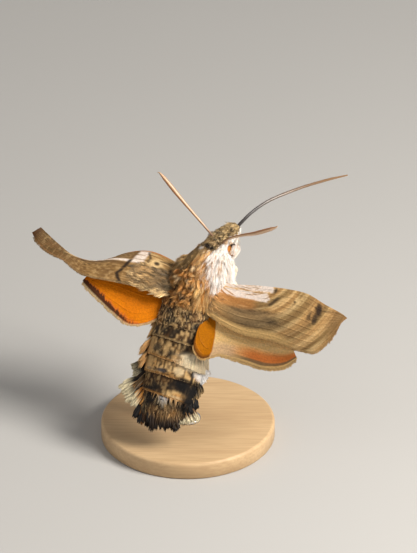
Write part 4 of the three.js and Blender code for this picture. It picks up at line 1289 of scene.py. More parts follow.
def line_at(value, middle, half):
    """1 on a line, fading out on both sides."""
    return 1 - rise(np.abs(value - middle), half * 0.4, half * 1.6)


# %% Markings of the left forewing
# Dark spots of the left forewing: colour, strength, middle and half sizes, along and across.
FOREWING_SPOTS = [
    ("dark", 0.75, (0.15, 0.50), (0.020, 0.070)), ("dark", 0.75, (0.09, 0.40), (0.020, 0.060)),
    ("dark", 0.75, (0.63, 0.56), (0.030, 0.030)), ("dark", 0.75, (0.57, 0.66), (0.020, 0.022)),
    ("dark", 0.75, (0.60, 0.72), (0.010, 0.018)),
]
print("spots:", len(FOREWING_SPOTS))


def paint_forewing_left(along, across, middle):
    """A painted highlight along the fold at the front with painted shade under it, a painted glint of sunlit
    scales before the first dark line, dark spots at the root, fine lines across the outer part and a dark
    tip."""
    cloud = streaks(along, across, 1.6, 1.2, 11)
    hairs = streaks(along, across + 0.03 * cloud, 1.4, 0.16, 12)
    lines = streaks(along + 0.02 * across + 0.004 * cloud, across, 0.11, 2.0, 13)
    grain = streaks(along, across, 0.30, 0.22, 14)
    outer, inner = rise(along, 0.60, 0.80), 1 - rise(along, 0.30, 0.36)
    lined = rise(along, 0.55, 0.70)
    shoulder = (1 - rise(ragged(along, cloud, 0.04), 0.10, 0.17)) * rise(across, 0.30, 0.45)
    fold = np.interp(along, [0.30, 0.40, 0.53, 0.67, 0.78], [0.50, 0.45, 0.37, 0.40, 0.48])
    painted_glint = hump(ragged(along, cloud, 0.03), 0.272, 0.318, 0.022) * hump(across, 0.06, 0.48, 0.06)
    first = np.interp(across, [0.40, 0.65, 0.74, 0.83, 0.90, 0.98],
                      [0.330, 0.345, 0.355, 0.375, 0.365, 0.340])
    broken = (hump(across, 0.46, 0.66, 0.05) + hump(across, 0.76, 0.98, 0.05)
              + 0.5 * hump(across, 0.66, 0.76, 0.03))
    curve = 0.265 - 0.08 * across + 0.006 * np.sin(across * 18)
    slant = 0.20 + 0.8 * (along - 0.13)
    ground = lay(WING["drab"], WING, [
        ("tan", 0.60, inner),
        ("deep_olive", 0.90, outer),
        ("brown", 0.55, rise(cloud, 0.35, 0.85)),
        ("pale", 0.55, rise(hairs, 0.50, 0.80) * inner),
        ("dark", 0.45, (1 - rise(hairs, 0.12, 0.40)) * inner),
        ("brown", 0.75, rise(grain, 0.50, 0.80) * (1 - inner)),
        ("pale", 0.22, (1 - rise(grain, 0.20, 0.45)) * (1 - inner) * (1 - outer)),
        ("dark", 1.00, shoulder * blend(0.55, 0.85, rise(cloud, 0.30, 0.65))),
        ("pale", 0.85, shoulder * rise(across, 0.88, 0.95)),
        ("pale", 0.20, rise(lines, 0.50, 0.80) * lined),
        ("brown", 0.50, (1 - rise(lines, 0.15, 0.45)) * lined),
        ("glow", 0.70, (1 - rise(across, 0.02, 0.06)) * hump(along, 0.16, 0.60, 0.05)),
        ("glow", 0.60, rise(across, 0.95, 0.99) * rise(along, 0.60, 0.75)),
        # Painted shade under the fold at the front, then a painted highlight along its crest.
        ("brown", 0.75, line_at(across, fold + 0.11, 0.055) * hump(along, 0.36, 0.66, 0.06)),
        ("pale", 0.90, line_at(across, fold, 0.050) * hump(along, 0.36, 0.74, 0.05)),
        ("painted_highlight", 0.95, line_at(across, fold, 0.040) * hump(along, 0.36, 0.52, 0.08)),
        # A painted glint of sunlit scales before the first dark line.
        ("painted_highlight", 0.85, painted_glint * rise(hairs + 0.3 * grain, 0.25, 0.70)),
        ("dark", 0.96, line_at(along, first, 0.011) * np.clip(broken, 0, 1)),
        ("brown", 0.70, line_at(along, 0.336, 0.010) * (1 - rise(across, 0.34, 0.42))),
        ("dark", 0.75, line_at(along, curve, 0.008) * hump(across, 0.08, 0.52, 0.06)),
        ("pale", 0.90, spot(along, across, (0.192, 0.35), (0.036, 0.13))),
        ("dark", 0.95, spot(along, across, (0.188, 0.36), (0.017, 0.060))),
        ("dark", 0.60, line_at(across, slant, 0.03) * hump(along, 0.10, 0.17, 0.02)),
    ])
    ground = lay_spots(ground, WING, along, across, FOREWING_SPOTS)
    return over(ground, WING["margin"], 0.7 * rise(along + 0.03 * (across - 0.5), 0.955, 0.985))


# %% Markings of the right forewing
# Dark bands of the right forewing: strength, middle and half sizes, along and across.
FOREWING_BANDS = [
    (0.75, (0.42, 0.52), (0.12, 0.035)), (0.60, (0.30, 0.58), (0.12, 0.030)),
    (0.75, (0.50, 0.66), (0.06, 0.040)), (0.70, (0.30, 0.80), (0.17, 0.045)),
    (0.60, (0.12, 0.86), (0.10, 0.060)),
]
print("bands:", len(FOREWING_BANDS))


def paint_forewing_right(along, across, middle):
    """The same wing seen flat: painted glints of white near its root, a soft dark first line and band, a
    discal dot, a dark patch near the tip, and feathery streaks in arcs over all of it."""
    fine, broad, wide = (arcs(middle, 3.2, 0.12, 31), arcs(middle, 4.5, 0.42, 32),
                         arcs(middle, 6.0, 1.1, 33))
    cloud = streaks(along, across, 1.6, 1.2, 34)
    grain = streaks(along, across, 0.40, 0.40, 35)
    ground = lay(WING["tan"], WING, [
        ("olive", 0.80, rise(wide, 0.35, 0.70)),
        ("pale", 0.45, rise(broad, 0.50, 0.80) * rise(along, 0.35, 0.60)),
        ("brown", 0.50, 1 - rise(broad, 0.15, 0.45)),
        ("pale", 0.30, rise(fine, 0.55, 0.85)),
        ("brown", 0.30, 1 - rise(fine, 0.15, 0.45)),
        ("glow", 0.30, hump(along, 0.10, 0.32, 0.08) * hump(across, 0.28, 0.50, 0.10)),
        ("grey", 0.65, spot(along, across, (0.36, 0.66), (0.20, 0.16), 1.4)),
    ])
    for strength, at, size in FOREWING_BANDS:
        band = spot(along, ragged(across, broad, 0.06), at, size, 1.6)
        ground = over(ground, WING["dark"], strength * band * rise(fine + 0.5 * broad, 0.35, 0.9))
    first = line_at(along, 0.545 - 0.22 * across, 0.014) * hump(across, 0.22, 0.36, 0.06)
    glint_span = hump(ragged(along, grain, 0.04), 0.10, 0.43, 0.02) * rise(fine + 0.4 * broad, 0.36, 0.72)
    lean = ragged(across - 0.10 * (along - 0.3), fine, 0.05)
    slanted = ragged(along - 0.06 * (across - 0.2), grain, 0.012)
    return brighten(lay(ground, WING, [
        ("dark", 0.80, first),
        # Painted glints: white streaks of sunlit scales near the root.
        ("painted_highlight", 0.97, hump(lean, -0.02, 0.10, 0.035) * glint_span),
        ("painted_highlight", 0.97, hump(lean, 0.175, 0.30, 0.035) * glint_span),
        ("grey", 0.75, spot(along, across, (0.455, 0.08), (0.014, 0.06))),
        ("dark", 0.80, spot(along, across, (0.462, 0.07), (0.008, 0.05))),
        ("dark", 0.92, spot(along, across, (0.62, 0.21), (0.009, 0.026))),
        ("pale", 0.50, spot(along, across, (0.63, 0.17), (0.016, 0.04)) * rise(across, 0.0, 0.17)),
        ("dark", 0.70, spot(along, across, (0.765, 0.38), (0.040, 0.14), 1.4) * rise(grain, 0.45, 0.60)),
        ("dark", 0.97, spot(slanted, across, (0.795, 0.18), (0.025, 0.13))),
        ("dark", 0.80, spot(slanted, across, (0.775, 0.36), (0.020, 0.08))),
        ("dark", 0.60, line_at(across, 0.16 - 0.7 * (along - 0.82), 0.018) * rise(along, 0.81, 0.84)),
        ("dark", 0.75, (1 - rise(along, 0.02, 0.08)) * rise(across, 0.24, 0.34)),
        ("brown", 0.75, rise(ragged(along, cloud, 0.05), 0.82, 0.96)),
        ("buff", 0.75, rise(across, 0.80, 0.90) * (1 - rise(along, 0.55, 0.70))),
    ]), 1.33, 0.74)


# %% Markings of the hindwings
def paint_hindwing_left(along, across, middle):
    """Even orange, with a dark margin whose inner side is drawn out in fine rays, and brown at the root."""
    rays = streaks(along, across, 0.22, 4.0, 41)
    cloud = streaks(along, across, 3.0, 2.0, 42)
    border = np.interp(along, [0.36, 0.46, 0.62, 0.72, 0.94, 1.0], [1.05, 0.90, 0.84, 0.81, 0.63, 0.50])
    edge = ragged(across, rays, 0.16) - border
    return lay(WING["orange"], WING, [
        ("deep", 0.50, rise(cloud, 0.4, 0.8)),
        ("margin", 0.85, 1 - rise(ragged(along, rays, 0.06), 0.10, 0.22)),
        ("rust", 0.85, rise(edge, -0.09, -0.01)),
        ("margin", 0.95, rise(edge, -0.03, 0.04)),
    ])


def paint_hindwing_right(along, across, middle):
    """Bright orange next to the body, its outer border nearly upright, with a dark rim below; outwards
    pale buff, then a soft rust glow, a grey-brown band and a buff edge."""
    fine, broad = arcs(middle, 4.0, 0.13, 51), arcs(middle, 5.0, 0.6, 52)
    cloud = streaks(along, across, 3.0, 1.4, 53)
    ground = brighten(lay(WING["buff"], WING, [
        ("olive", 0.55, rise(broad, 0.45, 0.85)),
        ("pale", 0.45, rise(fine, 0.40, 0.75)),
    ]), 1.55, 0.66)
    streak = rise(along, 0.42, 0.66) * hump(ragged(across, cloud, 0.05), 0.66, 0.76, 0.16)
    band = hump(ragged(across, broad, 0.04), 0.815, 0.875, 0.04) * rise(along, 0.40, 0.60)
    border = np.interp(-middle[..., 1], [3.0, 5.5, 6.8, 9.0, 10.2], [1.9, 2.2, 2.1, 1.65, 1.0])
    oval = past(ragged(border - middle[..., 0], cloud, 0.10), 0, 0.10)
    rim = np.maximum(rise(across, 0.86, 0.96), 1 - rise(along, 0.03, 0.07))
    return lay(ground, WING, [
        ("pink", 0.90, hump(along, 0.32, 0.46, 0.07) * rise(across, 0.45, 0.70)),
        ("glow", 0.75, rise(along, 0.40, 0.66) * hump(across, 0.55, 0.78, 0.16)),
        ("rust", 0.70, streak),
        ("deep_grey", 0.85, band),
        ("dull_buff", 0.90, rise(across, 0.90, 0.94) * rise(along, 0.30, 0.40)),
        ("oval", 1.00, oval),
        ("margin", 0.80, rim * oval),
    ])


# %% Wing scales
def wing_material(name):
    """Rows of tiny scales: cells in the wing's own map lift the surface and change its shade a little,
    and the tint gives the markings."""
    material, tree, shader, place = new_material(name)
    on_wing = add_node(tree, "ShaderNodeUVMap", uv_map="scales").outputs["UV"]
    laid = add_node(tree, "ShaderNodeMapping", {"Vector": on_wing, "Scale": (5.0, 9.0, 1.0)})
    cells = add_node(tree, "ShaderNodeTexVoronoi", {"Vector": laid.outputs["Vector"], "Scale": 1.0,
                                                    "Randomness": 0.75})
    drift = noise_pattern(tree, place, 5000.0, 4.0)
    height = add_node(tree, "ShaderNodeMath", {0: cells.outputs["Distance"], 1: drift}, operation="ADD")
    finish_material(tree, shader, tinted(tree, cells.outputs["Color"], 0.78, 1.20), drift, (0.48, 0.68),
                    height.outputs["Value"], 0.4, 0.00004, specular=0.10, sheen=0.01, sheen_roughness=0.35)
    return material


wing_scales = wing_material("wing_scales")


# %% Make the wings
def make_wing(name, veins, paint):
    """A wing as a closed sheet, thick at its root and thin at its margins, with its own scale map."""
    share = wing_columns(veins)
    middle = wing_middle(WING_EDGES[name], WING_ROWS, share)
    normal = sheet_normals(middle)
    along, across = np.meshgrid(np.linspace(0, 1, WING_ROWS), share, indexing="ij")
    rim = rise(np.minimum(np.minimum(across, 1 - across) / 0.05, (1 - along) / 0.03), 0, 1)
    vein = vein_ridges(along, across, veins)
    half = blend(MEMBRANE["root"], MEMBRANE["half"], rise(along, 0, 0.35)) * (0.35 + 0.65 * rim)
    half = half + MEMBRANE["vein_height"] * vein * rim
    points = np.concatenate([(middle + normal * half[..., None]).reshape(-1, 3),
                             (middle - normal * half[..., None]).reshape(-1, 3)])
    colour = over(paint(along, across, middle), WING["dark"], 0.08 * vein)
    below = over(colour, WING["rust"], np.full(along.shape, 0.45)) * 0.8
    tint = np.clip(np.concatenate([colour.reshape(-1, 3), below.reshape(-1, 3)]), 0, 1)
    chord = np.linalg.norm(middle[:, -1] - middle[:, 0], axis=1)[:, None]
    flat = np.stack([along * 20, across * np.broadcast_to(chord, along.shape)], axis=-1).reshape(-1, 2)
    flat = np.concatenate([flat, flat + [0, 40]])
    faces = outwards(points, sheet_faces(*along.shape))
    piece = add_piece(name + "_scaled", points, faces, wing_scales, tint, {"scales": flat})
    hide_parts(name)
    return middle, normal, colour, share


wings = {
    "forewing_left": make_wing("forewing_left", FORE_VEINS, paint_forewing_left),
    "forewing_right": make_wing("forewing_right", FORE_VEINS, paint_forewing_right),
    "hindwing_left": make_wing("hindwing_left", HIND_VEINS, paint_hindwing_left),
    "hindwing_right": make_wing("hindwing_right", HIND_VEINS, paint_hindwing_right),
}

# %% [markdown]
# ## Fringes and fur of the wings
#
# Wings of this family end in a fringe of hair scales, ragged where it is worn, and carry fur near their
# roots. Both are blades that grow from the wing sheet itself: the fringe leaves the rear edge, and the fur
# lies outward in curly locks over the first third of the wing.

# %% Wing fringes
def wing_unwrap(name, along, across):
    """The two shares of a root on the wings' unwrapped sheets, which lie side by side."""
    return (list(WING_EDGES).index(name) + across) / len(WING_EDGES), along


def fringe(name, spans, length, tint, count, lean=0.15):
    """Blades along the rear edge, leaning outward, in small brushes of ragged lengths."""
    middle, normal, colour, _ = wings[name]
    rows = len(middle)
    along = rng.uniform(*spans, count)
    row = np.clip((along * (rows - 1)).astype(int), 0, rows - 2)
    chord = unit(middle[row, -1] - middle[row, -6])
    outward = unit(middle[row + 1, -1] - middle[row, -1])
    root = middle[row, -3] + normal[row, -3] * rng.uniform(-0.04, 0.04, count)[:, None]
    brush = noise(along[:, None] * [95.0, 0.0], 1.0, 23) - 0.5
    way = unit(chord + outward * (lean + 0.5 * brush + rng.normal(0, 0.08, count))[:, None]
               + normal[row, -3] * rng.normal(0, 0.10, count)[:, None])
    wear = 0.50 + 0.45 * noise(along[:, None] * [22.0, 0.0], 1.0, 21) + 0.45 * (brush + 0.5)
    size = length * wear * rng.uniform(0.8, 1.1, count)
    shade = rng.uniform(0.8, 1.15, count)[:, None]
    base = colour[row, -8] * shade
    tips = np.broadcast_to(tint, (count, 3)) * shade
    return (root, way, normal[row, -3], size, base, tips, *wing_unwrap(name, along, np.ones(count)))


# %% Wing fur
HAIRS_A_WING_LOCK = 22
REARWARD_LEAN = 0.35


def wing_fur(name, reach, fronts, length, lock_count):
    """Curly locks lying along the wing near its root, thinning out with distance."""
    middle, normal, colour, share = wings[name]
    rows = len(middle)
    count = lock_count * HAIRS_A_WING_LOCK
    lock = np.repeat(np.arange(lock_count), HAIRS_A_WING_LOCK)
    lock_along = reach * rng.power(1.1, lock_count)
    lock_across = rng.uniform(*fronts, lock_count)
    along = np.clip(lock_along[lock] + rng.normal(0, 0.008, count), 0.0, 0.9)
    across = np.clip(lock_across[lock] + rng.normal(0, 0.020, count), 0.01, 0.99)
    row, column = (along * (rows - 1)).astype(int), np.searchsorted(share, across)
    after = np.minimum(column + 2, len(share) - 1)
    outward = unit(middle[row + 4, column] - middle[row, column])
    rearward = unit(middle[row, after] - middle[row, after - 4])
    swing = REARWARD_LEAN + rng.normal(0, 0.35, lock_count)[lock] + rng.normal(0, 0.06, count)
    inward = 9 * (across - lock_across[lock])
    way = unit(outward + rearward * (swing - inward)[:, None])
    root = middle[row, column] + normal[row, column] * 0.04
    size = (length * rng.uniform(0.6, 1.3, lock_count)[lock] * rng.uniform(0.8, 1.1, count)
            * (1 - 0.5 * along / reach))
    lock_shade = np.clip(rng.normal(1.0, 0.42, lock_count), 0.35, 1.8)
    tint = colour[row, column] * (lock_shade[lock] * rng.uniform(0.7, 1.3, count))[:, None]
    tips = over(tint, FUR["cream"], np.full(count, 0.10))
    # The roots are painted darker than the tips, as painted shade under the locks.
    return (root, way, normal[row, column], size, tint * 0.7, tips, *wing_unwrap(name, along, across))


# %% Grow fringes and fur
def grow_on_wings(name, parts, width, lift, change=(0.1, 0.7)):
    """One piece from the parts of several wings."""
    columns = [np.concatenate(column) for column in zip(*parts)]
    root, way, normal, size, base, tips, *unwrap = columns
    count = len(root)
    grow(name, coat_fur, root, way, normal, size, width * rng.uniform(0.7, 1.3, count), base, tips,
         unwrap, lift=np.abs(rng.normal(lift, 0.08, count)), curl=-0.12, change=change, painted_root_shade=0.65)


grow_on_wings("forewing_fringe", [
    fringe("forewing_left", (0.30, 0.97), 0.42, WING["olive"], 2200, lean=0.5),
    fringe("forewing_right", (0.25, 0.99), 0.45, WING["tan"], 2000),
], 0.070, 0.0, change=(0.30, 0.80))
grow_on_wings("hindwing_fringe", [
    fringe("hindwing_left", (0.16, 0.99), 0.55, WING["fringe"], 2400),
    fringe("hindwing_right", (0.15, 0.99), 0.40, WING["buff"], 2200),
], 0.075, 0.0, change=(0.25, 0.60))
grow_on_wings("wing_root_fur", [
    wing_fur("forewing_left", 0.29, (0.46, 0.99), 1.6, 190),
    wing_fur("forewing_left", 0.10, (0.10, 0.60), 0.8, 30),
    wing_fur("forewing_right", 0.15, (0.30, 0.98), 1.1, 60),
    wing_fur("hindwing_left", 0.16, (0.05, 0.95), 1.0, 40),
    wing_fur("hindwing_right", 0.06, (0.05, 0.60), 0.5, 14),
], 0.075, 0.20)

# %% [markdown]
# ## Eyes, feelers, tongue and legs
#
# The compound eyes are smooth, glossy ovals of fine facets. The feelers are ringed horn, thickest at about
# four fifths of their length and hooked at the tip. The tongue is a double tube with a groove down its
# middle and fine rings. All of these are tubes carried along a curve or ovals, so one tube builder serves.

# %% Tubes
def carry(path, radius, columns, squeeze=None):
    """Rings round a path: at each point two directions square to the path carry a circle of the given
    radius, which may change with the angle."""
    tangent = unit(np.gradient(path, axis=0))
    side = unit(np.cross(tangent, OUTWARD))
    up = np.cross(side, tangent)
    angle = np.arange(columns) * 2 * np.pi / columns
    wide = radius[:, None] * (np.ones(columns) if squeeze is None else squeeze(angle))[None]
    ring = (path[:, None] + side[:, None] * (wide * np.cos(angle))[..., None]
            + up[:, None] * (wide * np.sin(angle))[..., None])
    return ring, tangent


def add_tube(name, path, radius, columns, material, tint, squeeze=None):
    ring, tangent = carry(path, radius, columns, squeeze)
    ends = np.stack([path[0] - tangent[0] * radius[0] * 0.5, path[-1] + tangent[-1] * radius[-1]])
    points = np.concatenate([ring.reshape(-1, 3), ends])
    rows = len(path)
    tint = np.broadcast_to(tint.reshape(rows, -1, 3), (rows, columns, 3))
    colours = np.concatenate([tint.reshape(-1, 3), tint[:1, 0], tint[-1:, 0]])
    along = np.append(np.repeat(np.linspace(0, 1, rows), columns), [0, 1])
    around = np.append(np.tile(np.arange(columns) / columns, rows), [0.5, 0.5])
    maps = {"rings": np.stack([around, along], axis=-1)}
    return add_piece(name, points, outwards(points, tube_faces(rows, columns)), material, colours, maps)


def horn_material(name, roughness, grain):
    """Horn with a satin gloss, finely mottled."""
    material, tree, shader, place = new_material(name)
    mottle = noise_pattern(tree, place, grain, 5.0)
    finish_material(tree, shader, tinted(tree, mottle, 0.82, 1.15, (0.3, 0.7)), mottle,
                    (roughness - 0.10, roughness + 0.12), mottle, 0.4, 0.00002, specular=0.55)
    return material


feeler_horn = horn_material("feeler_horn", 0.38, 12000.0)
tongue_horn = horn_material("tongue_horn", 0.34, 9000.0)

# %% Feelers
FEELERS = {
    "antenna_left": [(2.20, 6.10, 0.60), (1.00, 7.60, 1.10), (-2.60, 11.80, 1.20), (-5.25, 15.05, 1.03),
                     (-5.56, 15.36, 1.00), (-5.80, 15.40, 0.96)],
    "antenna_right": [(2.60, 5.20, 1.30), (3.70, 6.20, 2.60), (5.60, 6.75, 4.20), (7.60, 7.05, 6.20),
                      (10.10, 7.75, 8.28), (10.42, 7.88, 8.52), (10.55, 8.05, 8.58)],
}
FEELER_RADII = ([0, 0.10, 0.45, 0.74, 0.90, 0.97, 1], [0.15, 0.14, 0.19, 0.29, 0.24, 0.12, 0.045])
HORN = {"root": tone(84, 56, 34), "middle": tone(156, 102, 54), "club": tone(150, 96, 50),
        "tip": tone(110, 74, 42), "ridge": tone(246, 222, 190)}


def make_feeler(name, points):
    """A ringed club: the radius follows a short table, and each of the rings swells towards its end. A
    pale painted highlight runs along one side."""
    rows, columns, rings = 300, 20, 58
    path = smooth_curve(points, rows)
    share = np.linspace(0, 1, rows)
    radius = np.interp(share, *FEELER_RADII) * (1 + 0.07 * ((share * rings) % 1))
    tint = np.stack([np.interp(share, [0, 0.35, 0.75, 0.95, 1], column) for column in np.transpose(
        [HORN[part] for part in ("root", "middle", "club", "middle", "tip")])], axis=-1)
    tint = tint * (0.88 + 0.18 * ((share * rings) % 1))[:, None]
    angle = np.arange(columns) * 2 * np.pi / columns
    # A painted highlight along one side of the tube.
    ridge = np.clip(np.sin(angle + 0.5), 0, 1) ** 4 * 0.50
    tint = over(np.repeat(tint[:, None], columns, axis=1), HORN["ridge"],
                ridge[None] * rise(share, 0.02, 0.3)[:, None])
    piece = add_tube(name + "_ringed", path, radius, columns, feeler_horn, tint)
    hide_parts(name)


for feeler_name, feeler_points in FEELERS.items():
    make_feeler(feeler_name, feeler_points)

# %% Tongue
TONGUE_POINTS = [(4.40, 7.20, -0.30), (5.90, 8.80, -0.50), (7.15, 10.00, -0.90), (9.35, 11.50, -1.80),
                 (13.25, 13.15, -3.80), (17.20, 14.40, -7.00), (20.40, 15.20, -11.00)]
TONGUE_TONES = [tone(34, 28, 28), tone(50, 42, 40), tone(96, 72, 50), tone(130, 98, 66)]


def make_tongue():
    """Two joined half tubes: the radius dips along two opposite lines, where the halves meet."""
    rows, rings = 420, 140
    path = smooth_curve(TONGUE_POINTS, rows)
    share = np.linspace(0, 1, rows)
    radius = np.interp(share, [0, 0.2, 0.8, 1], [0.24, 0.21, 0.18, 0.09])
    radius = radius * (1 + 0.035 * np.sin(2 * np.pi * share * rings))
    tint = np.stack([np.interp(share, [0, 0.22, 0.45, 1], column) for column in np.transpose(TONGUE_TONES)],
                    axis=-1)

    def squeeze(angle):
        return 1 - 0.22 * np.exp(-((np.cos(angle) / 0.22) ** 2))

    piece = add_tube("proboscis_grooved", path, radius, 24, tongue_horn, tint, squeeze)
    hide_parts("proboscis")


make_tongue()

# %% Eyes
EYE_TONES = {"dark": tone(30, 18, 12), "amber": tone(200, 122, 30), "front": tone(96, 66, 44)}


def eye_material():
    """Glossy horn under a clear coat: the tint shades it from nearly black to amber at the rear rim, and
    a net of fine cells gives the facets."""
    material, tree, shader, place = new_material("compound_eye")
    cloud = noise_pattern(tree, place, 1800.0, 2.0)
    facets = add_node(tree, "ShaderNodeTexVoronoi", {"Vector": place, "Scale": 13000.0, "Randomness": 0.25})
    finish_material(tree, shader, tinted(tree, cloud, 0.7, 1.3), facets.outputs["Distance"], (0.14, 0.30),
                    facets.outputs["Distance"], 0.5, 0.00002, invert=True, specular=0.6, coat=0.8,
                    coat_roughness=0.08)
    return material


compound_eye = eye_material()


def make_eye(side_name, side):
    """An oval: sine and cosine of latitude and longitude, along the eye's own three axes. Its rear and
    upper rim is amber."""
    rows, columns = 48, 72
    latitude = np.linspace(0, np.pi, rows + 2)[1:-1]
    longitude = np.arange(columns) * 2 * np.pi / columns
    low, around = np.meshgrid(latitude, longitude, indexing="ij")
    ball = np.stack([np.sin(low) * np.cos(around), np.sin(low) * np.sin(around), np.cos(low)], axis=-1)
    ball = np.concatenate([ball.reshape(-1, 3), [[0, 0, 1], [0, 0, -1]]])
    rearward = -ball[:, 1] * 0.85 + ball[:, 2] * 0.53
    tint = lay(EYE_TONES["dark"], EYE_TONES, [("amber", 1.0, rise(rearward, 0.05, 0.45)),
                                              ("front", 0.8, rise(-rearward, 0.30, 0.80))])
    points = eye_centre(side_name, side) + (ball * EYE["radii"] * EYE["size"]) @ eye_axes(side)
    piece = add_piece(f"eye_{side_name}_faceted", points, outwards(points, tube_faces(rows, columns)),
                      compound_eye, tint)
    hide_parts(f"eye_{side_name}")


for eye_name, eye_side in SIDES.items():
    make_eye(eye_name, eye_side)

# %% Lashes
LASHES = 1000
LONG_LASHES = 850


def grow_eye_rims():
    """White lashes: short ones stand in a ring round each eye, and long ones sweep back from its front
    and lower rim over most of it, which leaves a crescent at the rear free."""
    parts = []
    for side_name, side in SIDES.items():
        long = np.arange(LASHES) < LONG_LASHES
        angle = np.where(long, rng.uniform(-2.3, 0.9, LASHES), rng.uniform(-2.3, 0.3, LASHES))
        outward, front, top = eye_axes(side) * np.array([side, 1, 1])[:, None]
        _, deep, high = np.array(EYE["radii"]) * EYE["size"]
        rim = front * (deep * np.cos(angle))[:, None] + top * (high * np.sin(angle))[:, None]
        radial = unit(rim)
        root = (eye_centre(side_name, side) + rim * rng.uniform(1.00, 1.14, LASHES)[:, None]
                + outward * np.where(long, 0.23, 0.05)[:, None] + rng.normal(0, 0.05, (LASHES, 3)))
        swept = -0.8 * front - 0.8 * radial + 0.2 * outward
        way = np.where(long[:, None], swept, outward - 0.5 * front)
        way = unit(way + rng.normal(0, 0.15, (LASHES, 3)))
        normal = unit(np.where(long[:, None], outward, radial))
        size = np.where(long, rng.uniform(0.85, 1.25, LASHES), rng.uniform(0.20, 0.35, LASHES))
        tint = over(FUR["white"], FUR["gold"], 0.9 * rng.power(0.5, LASHES))
        parts.append((root, way, normal, size, tint, np.degrees(angle), np.where(long, 0.90, 0.1)))
    root, way, normal, size, tint, turn, lift = map(np.concatenate, zip(*parts))
    place = np.full(len(root), EYE["along"])
    # The roots are painted darker than the tips, as painted shade.
    grow("eye_rims", coat_fur, root, way, normal, size, rng.uniform(0.05, 0.08, len(root)),
         tint * 0.8, tint, body_unwrap(place, turn), lift=lift, curl=-0.42, painted_root_shade=0.9)


grow_eye_rims()

# %% Legs
LEGS = {
    "front": {"root": 0.200, "path": [(0, 0.5, 2.2), (-0.6, 0.9, 4.2), (2.2, 0.9, 4.9), (5.6, 0.8, 5.3)]},
    "mid": {"root": 0.270, "path": [(0, 1.4, 2.4), (-0.6, 2.2, 4.3), (2.8, 2.3, 4.8), (7.2, 2.1, 4.8)]},
    "hind": {"root": 0.345, "path": [(0, 2.3, 2.2), (-0.4, 3.5, 3.9), (3.4, 3.6, 4.2), (8.8, 3.3, 4.0)]},
}
LEG_TONES = {"thigh": tone(238, 226, 202), "foot": tone(150, 122, 86)}
LEG_RADII = ([0, 0.10, 0.26, 0.31, 0.38, 0.58, 0.63, 0.74, 0.86, 1],
             [0.42, 0.46, 0.34, 0.27, 0.33, 0.25, 0.17, 0.15, 0.12, 0.08])
LEG_ROWS = 160
FOOT_FROM = 0.63


def make_leg(node, spec, side):
    """A tube, narrow at the joints and notched between the rings of the foot. Its path's points lie so far
    behind its root, out to the side and below the body's middle."""
    behind, out, below = np.array(spec["path"], float).T
    points = in_body(np.full(len(behind), spec["root"]), side * out, -below, behind=behind)
    path = smooth_curve(points, LEG_ROWS)
    share = np.linspace(0, 1, LEG_ROWS)
    notch = (share > FOOT_FROM) & (np.abs((share * 18) % 1 - 0.5) > 0.42)
    radius = np.interp(share, *LEG_RADII) * (1 - 0.12 * notch)
    tint = over(LEG_TONES["thigh"], LEG_TONES["foot"], rise(share, 0.5, 0.95))
    # The tube shows only between its scales and is painted darker there, as painted shade.
    piece = add_tube(f"{node}_jointed", path, radius, 14, skin_fur, tint * 0.8)
    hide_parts(node)
    return path, radius, tint


leg_coats = [make_leg(f"leg_{pair}_{side_name}", spec, side)
             for pair, spec in LEGS.items() for side_name, side in SIDES.items()]

# %% Scales of the legs
SCALES_A_LEG = 600


def make_leg_coats():
    """Short scales that lie along each leg, from rings round it at random places and angles."""
    parts = []
    for number, (path, radius, tint) in enumerate(leg_coats):
        row = rng.integers(3, len(path) - 4, SCALES_A_LEG)
        angle = rng.uniform(0, 2 * np.pi, SCALES_A_LEG)[:, None]
        tangent = unit(np.gradient(path, axis=0))[row]
        side = unit(np.cross(tangent, OUTWARD))
        normal = side * np.cos(angle) + np.cross(side, tangent) * np.sin(angle)
        root = path[row] + normal * (radius[row] * 0.85)[:, None]
        shade = rng.uniform(0.75, 1.2, SCALES_A_LEG)[:, None]
        parts.append((root, tangent, normal, tint[row] * shade, np.degrees(angle[:, 0]),
                      (number + row / len(path)) / len(leg_coats)))
    root, way, normal, tint, turn, place = map(np.concatenate, zip(*parts))
    count = len(root)
    grow("leg_scales", coat_fur, root, way, normal, rng.uniform(0.30, 0.60, count),
         rng.uniform(0.08, 0.14, count), tint, tint, body_unwrap(place, turn), lift=0.22, curl=-0.12)


make_leg_coats()

# %% [markdown]
# ## Stand
#
# A flier needs something to hold it up: a round base of oiled maple and one satin steel rod up to its
# belly. Both are profiles turned about an upright axis. The base gets a soft upper edge, and a small
# steel collar shows how the rod is held.

# %% Turned stand
MAPLE_TONES = [tone(176, 144, 106), tone(198, 168, 128)]


def from_world(points):
    """Back from world millimetres to the moth's frame: the origin taken off, then turned the other way."""
    x, y, z = np.moveaxis(points - moth_origin, -1, 0)
    cosine, sine = np.cos(LEAN_BACK), np.sin(LEAN_BACK)
    return np.stack([x, cosine * y + sine * z, cosine * z - sine * y], axis=-1)


def turn_up(name, profile, middle, columns, material):
    """A profile of radius and height turned about the axis through the middle."""
    profile = np.array(profile, float)
    angle = np.arange(columns) * 2 * np.pi / columns
    radius, height = profile[1:-1, 0][:, None], profile[1:-1, 1][:, None]
    ring = np.stack([radius * np.cos(angle), radius * np.sin(angle), height + 0 * angle], axis=-1)
    ends = np.array([(0, 0, profile[0, 1]), (0, 0, profile[-1, 1])])
    points = np.concatenate([ring.reshape(-1, 3), ends]) + [middle[0], middle[1], 0]
    faces = outwards(points, tube_faces(len(profile) - 2, columns))
    return add_piece(name, from_world(points), faces, material)


